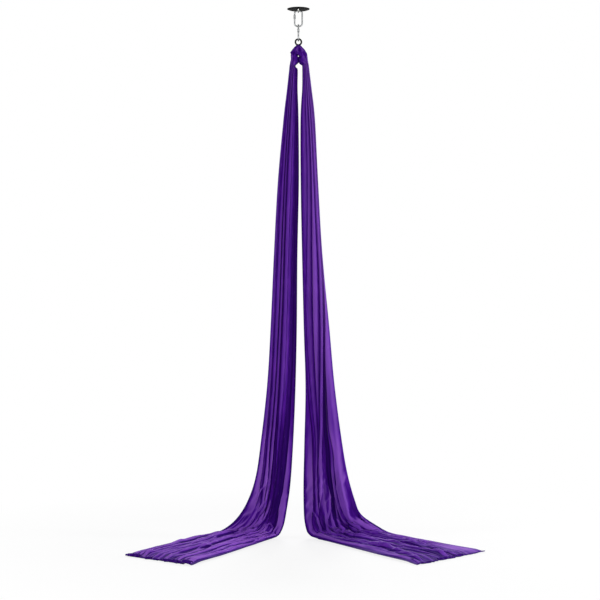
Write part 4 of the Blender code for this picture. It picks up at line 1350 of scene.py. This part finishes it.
RIGHT_TAIL = SilkTail(
    side=Side.RIGHT, spread=1.15, reach=0.97, flat_corner=(0.77, 3.75),
    # Painted light and shade in bands across this tail
    hanging_shading=((0.0, -0.1), (0.2, 0.0), (0.36, 0.3), (0.7, 0.4), (1.0, 0.5)),
    bend_shading=((0.0, -0.1), (0.2, 0.0), (0.36, 0.2), (0.6, -0.1), (0.82, -0.35), (0.88, 0.4), (1.0, 1.0)),
    floor_shading=(
        (0.0, -0.7), (0.04, -0.1), (0.12, -0.8), (0.3, -0.7), (0.75, -0.6), (0.88, 0.0), (1.0, -0.2),
    ),
    curls=(
        (0.02, 0.03, 5 * MM), (0.2, 0.05, 4 * MM), (0.36, 0.05, 8 * MM), (0.44, 0.03, 6 * MM),
        (0.54, 0.05, 9 * MM), (0.62, 0.04, 9 * MM), (0.97, 0.04, 4 * MM),
    ),
    inner_shares=(
        (0.0215, 0.0, -0.02), (0.0217, 0.0, 0.0), (0.0218, 0.0, 0.0105), (0.022, 0.0, 0.02),
        (0.021, 0.0, 0.05), (0.012, 0.0, 0.1155), (0.013, 0.0, 0.2465), (0.0205, 0.0, 0.395),
        (0.0305, 0.0, 0.555), (0.0405, 0.0, 0.68), (0.034, 0.0, 0.797), (0.029, 0.0, 0.885),
        (0.031, 0.0, 0.944), (0.0435, 0.0, 0.9765), (0.066, 0.01, 0.992), (0.117, 0.093, 0.9965),
        (0.287, 0.412, 0.9965), (0.4435, 0.711, 0.9965), (0.61, 1.0, 0.9965),
    ),
    outer_shares=(
        (0.049, 0.0, -0.02), (0.059, 0.0, 0.0), (0.0624, 0.0, 0.0105), (0.0654, 0.0, 0.02),
        (0.075, 0.0, 0.05), (0.094, 0.0, 0.1155), (0.111, 0.0, 0.2465), (0.134, 0.0, 0.395),
        (0.175, 0.0, 0.555), (0.2035, 0.0, 0.674), (0.242, 0.0, 0.786), (0.2765, 0.0, 0.8625),
        (0.3175, 0.0, 0.918), (0.352, 0.0, 0.9485), (0.435, 0.0, 0.9715), (0.53, 0.01, 0.989),
        (0.696, 0.144, 0.9955), (0.852, 0.335, 0.9965), (1.0, 0.53, 0.9965),
    ),
    fold_bounds=(
        (0.0, 0.10, 0.28, 0.45, 0.60, 0.70, 0.76, 0.82, 0.90),
        (0.6, 0.08, 0.40, 0.62, 0.72, 0.90, 0.93, 0.955, 0.98),
        (1.0, 0.06, 0.34, 0.58, 0.76, 0.92, 0.945, 0.965, 0.985),
        (1.33, 0.04, 0.22, 0.48, 0.76, 0.90, 0.92, 0.95, 0.97),
        (1.64, 0.02, 0.10, 0.38, 0.68, 0.78, 0.81, 0.84, 0.88),
        (1.95, 0.03, 0.12, 0.34, 0.57, 0.64, 0.66, 0.71, 0.74),
        (2.20, 0.08, 0.18, 0.35, 0.47, 0.55, 0.58, 0.66, 0.69),
        (2.42, 0.18, 0.28, 0.37, 0.42, 0.50, 0.53, 0.64, 0.67),
        (2.58, 0.20, 0.30, 0.345, 0.37, 0.44, 0.55, 0.65, 0.72),
        (2.73, 0.20, 0.26, 0.30, 0.33, 0.40, 0.52, 0.64, 0.71),
        (2.89, 0.19, 0.23, 0.28, 0.33, 0.42, 0.57, 0.66, 0.72),
        (3.20, 0.10, 0.20, 0.30, 0.40, 0.52, 0.64, 0.74, 0.86),
        (3.65, 0.12, 0.20, 0.33, 0.41, 0.55, 0.62, 0.73, 0.82),
        (4.10, 0.10, 0.20, 0.32, 0.42, 0.52, 0.60, 0.68, 0.76),
    ),
    fold_heights=(
        (0.0, 0.7, 1.0, 0.95, 1.0, 0.9, 0.85, 0.9, 0.85, 0.9),
        (0.9, 0.5, 1.0, 0.9, 1.0, 0.95, 0.9, 0.9, 0.9, 0.95),
        (1.4, 0.5, 0.85, 0.95, 1.05, 1.0, 0.95, 0.95, 0.95, 1.0),
        (1.8, 0.5, 0.75, 1.0, 1.05, 1.1, 0.85, 0.6, 0.75, 1.05),
        (2.1, 0.6, 0.7, 0.95, 0.95, 1.15, 0.7, 0.1, 0.6, 1.1),
        (2.4, 0.8, 0.6, 0.85, 0.6, 1.15, 0.6, 0.1, 0.8, 1.15),
        (2.6, 0.85, 0.5, 0.8, 0.5, 1.1, 0.6, 0.1, 0.9, 1.15),
        (2.85, 0.9, 0.4, 0.9, 0.4, 1.1, 0.8, 0.0, 0.9, 1.2),
        (3.1, 0.9, 0.7, 0.9, 0.7, 1.0, 0.9, 0.5, 0.8, 1.1),
        (3.5, 0.6, 0.5, 0.7, 0.5, 0.7, 0.5, 0.7, 0.5, 0.6),
        (4.1, 0.5, 0.4, 0.6, 0.4, 0.6, 0.4, 0.6, 0.4, 0.12),
    ),
    fold_tilts=(
        (0.0, 0.6, -0.4, -0.4, -0.5, 0.2, 0.3, -0.3, 0.2, -0.6),
        (0.9, 0.6, -0.3, -0.6, -0.7, 0.2, 0.3, 0.0, 0.2, -0.6),
        (1.6, 0.6, 0.2, -0.8, -1.0, 0.2, 0.3, 0.0, 0.2, -0.8),
        (2.1, 0.6, 0.4, -0.9, -1.0, 0.2, 0.3, 0.0, 0.2, -1.0),
        (2.5, 0.2, 0.3, -0.6, -0.4, -0.2, 0.3, 0.0, 0.2, -1.0),
        (2.9, 0.2, -0.3, 0.5, -0.4, 0.4, -0.5, 0.3, -0.3, -0.6),
        (3.5, 0.5, -0.6, 0.7, -0.6, 0.6, -0.7, 0.6, -0.5, 0.3),
        (4.1, 0.3, -0.4, 0.5, -0.4, 0.5, -0.4, 0.5, -0.3, 0.0),
    ),
    creases=(
        Crease(((0.45, 2.60), (0.42, 2.72), (0.36, 2.85), (0.29, 2.95)), 6 * MM, 7 * MM),
        Crease(((0.61, 2.70), (0.58, 2.81), (0.51, 2.95), (0.40, 3.02)), 7 * MM, 9 * MM),
        Crease(((0.82, 2.72), (0.81, 2.84), (0.80, 2.99), (0.76, 3.07), (0.72, 3.13)), 8 * MM, 9 * MM),
        Crease(((0.64, 2.81), (0.63, 2.91), (0.60, 3.02), (0.50, 3.12), (0.44, 3.19)), 7 * MM, 10 * MM),
        Crease(((0.52, 2.97), (0.47, 3.05), (0.38, 3.15)), 6 * MM, 9 * MM),
        Crease(((0.42, 2.97), (0.36, 3.05), (0.26, 3.16), (0.21, 3.24)), 7 * MM, 10 * MM),
        Crease(((0.15, 2.92), (0.24, 2.99), (0.24, 3.05), (0.16, 3.15)), 7 * MM, 9 * MM),
        Crease(((0.71, 3.05), (0.59, 3.13), (0.38, 3.29)), 11 * MM, -12 * MM),
        Crease(((0.93, 3.05), (0.92, 3.10), (0.90, 3.15)), 12 * MM, -12 * MM),
        Crease(((0.99, 3.03), (0.94, 3.11), (0.91, 3.17)), 7 * MM, 9 * MM),
        Crease(((0.15, 3.17), (0.28, 3.32), (0.22, 3.59), (0.11, 3.89), (0.05, 4.09)), 14 * MM, -9 * MM),
        Crease(((0.34, 3.30), (0.28, 3.60), (0.18, 3.89), (0.12, 4.05)), 9 * MM, 9 * MM),
        Crease(((0.76, 3.23), (0.71, 3.49), (0.65, 3.65)), 10 * MM, 10 * MM),
        Crease(((0.83, 3.59), (0.71, 3.73)), 10 * MM, 10 * MM),
        Crease(((0.69, 3.78), (0.45, 4.06)), 10 * MM, 10 * MM),
    ),
)


@dataclass
class SilkHitch:
    """The cloth's middle, gathered over the eight's neck and big ring: a cowl over two lobes.

    The outline's rows are height, left edge, right edge and half depth. A crease's rows are height and
    place, and the hem's rows are the share round from the back and height. All but that share are in mm.
    """

    outline: tuple[Row, ...] = (
        (-234.0, -11.5, 11.0, 8.0), (-239.0, -14.5, 13.8, 11.5), (-244.0, -20.0, 19.0, 14.0),
        (-250.0, -27.0, 26.5, 16.0), (-262.0, -35.5, 37.5, 19.0), (-273.5, -43.5, 46.0, 21.5),
        (-283.0, -51.8, 51.5, 23.0), (-289.0, -51.5, 54.0, 24.0), (-304.0, -48.5, 57.0, 25.2),
        (-319.0, -47.0, 58.5, 26.0), (-333.0, -47.5, 60.0, 26.0), (-346.0, -47.5, 61.5, 25.0),
        (-355.0, -46.0, 60.0, 23.0), (-362.5, -41.0, 53.0, 20.0), (-368.0, -36.0, 47.0, 16.0),
        (-373.0, -28.0, 39.0, 9.0),
    )
    left_crease: tuple[Row, ...] = (
        (-280.0, 1.5), (-300.5, 1.5), (-304.8, -2.6), (-308.3, -3.5), (-311.8, -2.6), (-316.0, 1.2),
        (-335.0, 2.0), (-348.5, 1.0), (-353.0, -2.0), (-358.0, -6.5), (-363.0, -13.0), (-367.0, -17.5),
        (-373.0, -21.0),
    )
    right_crease: tuple[Row, ...] = (
        (-280.0, -1.5), (-300.5, -1.5), (-304.8, 2.6), (-308.3, 3.5), (-311.8, 2.6), (-316.0, -1.2),
        (-335.0, -2.0), (-348.5, 0.0), (-353.0, 4.0), (-358.0, 9.0), (-363.0, 15.5), (-367.0, 21.5),
        (-373.0, 26.0),
    )
    cowl_hem: tuple[Row, ...] = (
        (0.0, -290.0), (0.1, -297.0), (0.2, -290.0), (0.26, -286.0), (0.31, -287.0), (0.38, -287.5),
        (0.44, -286.0), (0.462, -290.0), (0.485, -302.0), (0.5, -306.5), (0.515, -309.0), (0.539, -315.0),
        (0.6, -322.5), (0.6355, -327.0), (0.7, -332.0), (0.75, -334.0), (0.82, -322.0), (0.92, -300.0),
        (1.0, -290.0),
    )
    cowl_top: float = -234.5 * MM
    cowl_room: float = 1.035
    hem_roll: float = 5.0 * MM
    neck_place: float = -241.0 * MM
    neck_half_height: float = 7.0 * MM
    neck_pleats: int = 24
    pleat_height: float = 2.0 * MM
    fold_height: float = 1.1 * MM
    cowl_folds: int = 20
    lobe_top: float = -280.0 * MM
    left_bottom: float = -369.0 * MM
    right_bottom: float = -373.0 * MM
    lobe_tucked: Span = (0.284, 0.31)
    lobe_fold_height: float = 1.5 * MM
    lobe_folds: int = 8
    lip: float = 0.07
    back_rise: float = 2.2 * MM
    crease_height: float = 1.8 * MM
    crease_scales: Row = (38.0, 38.0, 26.0)
    points_a_fold: int = 14
    outline_steps: int = 6
    rows: int = 72

    def edges_at(self, height: np.ndarray) -> tuple[np.ndarray, np.ndarray, np.ndarray]:
        """The outline at heights.

        Args:
            height: Heights in metres.

        Returns:
            Left edge, right edge and half depth at each, in metres.
        """
        table = smooth_rows(np.array(self.outline) * MM, self.outline_steps)
        return tuple(np.interp(-height, -table[:, 0], table[:, k]) for k in (1, 2, 3))

    def ruffled(self, points: np.ndarray, lift: np.ndarray, seed: float) -> tuple[np.ndarray, np.ndarray]:
        """Folds and small creases laid on a smooth surface.

        Args:
            points: Points, rows by columns, facing outward.
            lift: How far the folds lift each point, in metres.
            seed: Place of the creases in the noise.

        Returns:
            The points moved, and how far each stands out, -1 to 1, as painted shade and highlight.
        """
        down, sideways = unit(np.gradient(points, axis=0)), unit(np.gradient(points, axis=1))
        outward = unit(np.cross(sideways, down))
        raised = lift + ridged(wander_at(points * np.array(self.crease_scales), seed)) * self.crease_height
        # How far each point stands out, kept as painted shade and highlight
        return points + outward * raised[..., None], np.clip(0.45 * (raised - raised.mean()) / MM, -1.0, 1.0)

    def cowl(self) -> tuple[np.ndarray, np.ndarray]:
        """The upper hood, one sheet round the neck that meets itself at the back.

        Returns:
            Points, rows by columns, and how far each stands out, as painted shade and highlight.
        """
        share = np.linspace(0.0, 1.0, self.cowl_folds * self.points_a_fold + 1)[None]
        fall = np.linspace(0.0, 1.0, self.rows)[:, None]
        places, heights = np.array(self.cowl_hem).T
        evened = np.hanning(11) / np.hanning(11).sum()
        hem = np.pad(np.interp(share[0], places, heights * MM), 5, mode="edge")
        hem = np.convolve(hem, evened, mode="valid")
        height = self.cowl_top + (hem[None] - self.cowl_top) * np.minimum(fall / 0.93, 1.0)
        left, right, half = self.edges_at(height)
        turn = -math.tau * share - math.pi / 2
        x = (left + right) / 2 + (right - left) / 2 * signed_power(np.cos(turn), 0.85)
        y = half * signed_power(-np.sin(turn), 0.75)
        rolled = np.clip((fall - 0.9) / 0.1, 0.0, 1.0)
        keep = self.cowl_room - 0.12 * rolled**2
        height = height + self.hem_roll * np.sin(rolled * math.pi * 0.9) * rolled
        neck = peak(height - self.neck_place, self.neck_half_height)
        pleats = np.sin(self.neck_pleats * math.tau * share + 0.8 * np.sin(share * 23.0))
        bend = 1.5 * fall * np.sin(math.tau * share * 2.0 + 0.7)
        folds = np.sin(7 * math.tau * share + bend) + 0.5 * np.sin(13 * math.tau * share - bend)
        lift = self.pleat_height * neck * pleats
        lift = lift + self.fold_height * (1.0 - neck) * folds * (1.0 - 0.5 * fall)
        return self.ruffled(np.stack([x * keep, y * keep, height], axis=-1), lift, Seed.COWL.value)

    def lobe(self, side: Side) -> tuple[np.ndarray, np.ndarray]:
        """One lobe, which wraps from the front crease round its side to the back.

        Args:
            side: Which lobe.

        Returns:
            Points, rows by columns, and how far each stands out, as painted shade and highlight.
        """
        is_left = side is Side.LEFT
        bottom = self.left_bottom if is_left else self.right_bottom
        crease = self.left_crease if is_left else self.right_crease
        height = np.linspace(self.lobe_top, bottom, self.rows)
        left, right, half = self.edges_at(height)
        tight = 1.0 - 0.06 * (1.0 - eased(-height, *self.lobe_tucked))
        outer, half = (left if is_left else right) * tight, half * tight
        share = np.linspace(0.0, 1.0, self.lobe_folds * self.points_a_fold + 1)[None]
        fall = np.linspace(0.0, 1.0, self.rows)[:, None]
        turn = np.linspace(0.0, math.pi, share.size)
        table = smooth_rows(np.array(crease) * MM, self.outline_steps)
        seen = height[:, None] - self.back_rise * (turn / math.pi)[None]
        inner = np.interp(-seen, -table[:, 0], table[:, 1])
        x = inner + (outer[:, None] - inner) * (np.sin(turn) ** 0.7)[None]
        y = -signed_power(np.cos(turn), 0.5) * half[:, None]
        y = y * (1.0 - 0.75 * (peak(turn, self.lip) + peak(math.pi - turn, self.lip)))
        points = np.stack([x, y, np.repeat(height[:, None], share.size, axis=1)], axis=-1)
        if not is_left:
            points = points[:, ::-1]
        phase = share * math.tau * self.lobe_folds * 0.6 + side.value * 2.6 * fall
        ease = np.minimum(1.0, np.sin(np.pi * share) * 3.0) * (0.35 + 0.65 * np.sin(np.pi * fall * 0.95))
        lift = self.lobe_fold_height * ease * (1.0 + 0.4 * np.sin(share * 17.0 + 2.0)) * np.sin(phase)
        points, rise = self.ruffled(points, lift, Seed.LOBE.value + side.value)
        inward = share if is_left else 1.0 - share
        # Painted shade under the cowl's hem and along the lobe's front crease
        under = 0.45 * (1.0 - eased(fall, 0.1, 0.45)) + 0.7 * peak(inward, 0.09)
        return points, np.clip(rise - under, -1.0, 1.0)

    def build(self, cloth: bpy.types.Material) -> None:
        """Args:
            cloth: The cloth's material.
        """
        grids = {"hitch_cowl": self.cowl()}
        for side in Side:
            grids[f"hitch_{side.name.lower()}_lobe"] = self.lobe(side)
        for name, (grid, rise) in grids.items():
            width, length = mean_length(grid, 1), mean_length(grid, 0)
            piece = build_sheet(name, grid, rise, width, cloth)
            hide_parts("silk_hitch")
            LOG.info("%s: %.0f x %.0f mm", name, width / MM, length / MM)


class Hardware:
    """The steel and alloy pieces, which keep their CAD shapes."""

    def dress(self, effects: Effects) -> None:
        """Gives each metal node the finish of its slot.

        Args:
            effects: The shared effects.
        """
        materials = {slot: finish.material(effects) for slot, finish in METAL_FINISHES.items()}
        for part in frame["record"]["subparts"]:
            material = materials.get(part["material_slot"])
            if material is not None:
                piece = frame["nodes"][part["node"]]
                piece.data.materials.clear()
                piece.data.materials.append(material)
                LOG.info("%s: %s", piece.name, material.name)


# Studio


@dataclass(frozen=True)
class Lamp:
    """A soft rectangular studio lamp."""

    name: str
    place: Row
    aim: Row
    size: Span
    power: float

    def build(self) -> None:
        """Hangs the lamp and turns it to what it lights."""
        light = bpy.data.lights.new(self.name, "AREA")
        light.shape = "RECTANGLE"
        light.size, light.size_y = self.size
        light.energy = self.power
        lamp = bpy.data.objects.new(self.name, light)
        lamp.location = self.place
        lamp.rotation_euler = (Vector(self.aim) - Vector(self.place)).to_track_quat("-Z", "Y").to_euler()
        bpy.context.scene.collection.objects.link(lamp)


@dataclass
class Studio:
    """Camera, floor, lamps and world."""

    camera_place: Row = (0.0104, -9.43, -1.893)
    lens: float = 87.0
    sensor: float = 36.0
    sight: float = 200.0
    ambient: float = 0.2
    floor_radius: float = 7.0
    floor_corners: int = 96
    floor_dark: Colour = (246, 246, 246)
    floor_light: Colour = (250, 250, 250)
    floor_bounce: Colour = (168, 168, 168)
    floor_fade: Span = (1.3, 2.6)
    floor_glow: float = 0.8
    lamps: tuple[Lamp, ...] = (
        Lamp("key_lamp", (6.2, -0.8, -1.8), (0.1, 0.0, -2.2), (1.4, 3.2), 305.0),
        Lamp("fill_lamp", (-5.8, -2.2, -1.9), (-0.1, 0.0, -2.2), (1.6, 3.6), 165.0),
        Lamp("front_lamp", (0.8, -8.0, -1.0), (0.0, 0.0, -2.2), (3.0, 3.0), 225.0),
        Lamp("top_lamp", (0.0, 3.0, 16.0), (0.0, -0.3, -3.4), (8.0, 8.0), 640.0),
        Lamp("back_lamp", (0.5, 7.0, 4.5), (0.0, 0.0, -2.0), (3.0, 3.0), 400.0),
    )

    def camera(self) -> None:
        """Sets up the camera at the photograph's angle."""
        data = bpy.data.cameras.new("camera")
        data.sensor_width = self.sensor
        data.lens = self.lens
        data.clip_end = self.sight
        camera = bpy.data.objects.new("camera", data)
        camera.location = self.camera_place
        camera.rotation_euler = (math.radians(90.0), 0.0, 0.0)
        bpy.context.scene.collection.objects.link(camera)
        bpy.context.scene.camera = camera

    def seen_directly(self, tree: Tree) -> Socket:
        """A value of 1 for camera, glossy and transmission rays.

        Args:
            tree: The tree to add to.

        Returns:
            The value's socket.
        """
        rays = tree.add("ShaderNodeLightPath").outputs
        seen = tree.math("MAXIMUM", rays["Is Camera Ray"], rays["Is Glossy Ray"])
        return tree.math("MAXIMUM", seen, rays["Is Transmission Ray"])

    def world(self) -> None:
        """A white surround that lights the object softly."""
        world = bpy.data.worlds.new("studio")
        bpy.context.scene.world = world
        world.use_nodes = True
        world.node_tree.nodes.clear()
        tree = Tree(world.node_tree)
        dim = tree.add("ShaderNodeBackground", {"Color": WHITE, "Strength": self.ambient}).outputs[0]
        white = tree.add("ShaderNodeBackground", {"Color": WHITE, "Strength": 1.0}).outputs[0]
        mixed = tree.add("ShaderNodeMixShader", {0: self.seen_directly(tree), 1: dim, 2: white})
        tree.add("ShaderNodeOutputWorld", {0: mixed.outputs[0]})

    def floor(self) -> None:
        """A pale floor that fades to white away from the object."""
        mesh = bpy.data.meshes.new("floor")
        radius, corners = self.floor_radius, self.floor_corners
        turns = [math.tau * k / corners for k in range(corners)]
        rim = [(radius * math.cos(turn), radius * math.sin(turn), FLOOR_Z) for turn in turns]
        mesh.from_pydata(rim, [], [tuple(range(corners))])
        floor = bpy.data.objects.new("floor", mesh)
        bpy.context.scene.collection.objects.link(floor)
        mesh.materials.append(self.floor_material())

    def floor_material(self) -> bpy.types.Material:
        """The floor's material, which keeps the object's shadow.

        Returns:
            The material.
        """
        look = Look("pale_floor")
        tree = look.tree
        place = look.place()
        tone = tree.mix(tree.noise(place, 2.0, 3.0), srgb(*self.floor_dark), srgb(*self.floor_light))
        bounced = tree.add("ShaderNodeLightPath").outputs["Is Diffuse Ray"]
        tone = tree.mix(bounced, tone, srgb(*self.floor_bounce))
        look.set(Base_Color=tone, Roughness=0.9, Specular_IOR_Level=0.1)
        parts = tree.split(place)
        flat = tree.join(parts[0], parts[1])
        far = tree.add("ShaderNodeVectorMath", {0: flat}, operation="LENGTH").outputs["Value"]
        share = tree.spread(far, *self.floor_fade, self.floor_glow, 1.0)
        glow = tree.add("ShaderNodeEmission", {"Color": WHITE, "Strength": 1.0}).outputs[0]
        factor = tree.math("MULTIPLY", share, self.seen_directly(tree))
        mixed = tree.add("ShaderNodeMixShader", {0: factor, 1: look.shader.outputs[0], 2: glow})
        tree.feed(look.output.inputs["Surface"], mixed.outputs[0])
        return look.material

    def build(self) -> None:
        """Sets up the whole studio."""
        self.camera()
        self.world()
        self.floor()
        for lamp in self.lamps:
            lamp.build()
            LOG.info("lamp %s", lamp.name)
        bpy.context.scene.view_settings.view_transform = "Standard"


def main() -> None:
    """Builds the studio and dresses the object, piece by piece."""
    logging.basicConfig(level=logging.INFO, format="%(message)s")
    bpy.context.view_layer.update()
    Studio().build()
    effects = Effects()
    cloth = ClothFinish().material(effects)
    for tail in (LEFT_TAIL, RIGHT_TAIL):
        tail.build(cloth)
    SilkHitch().build(cloth)
    Hardware().dress(effects)


if __name__ == "__main__":
    main()
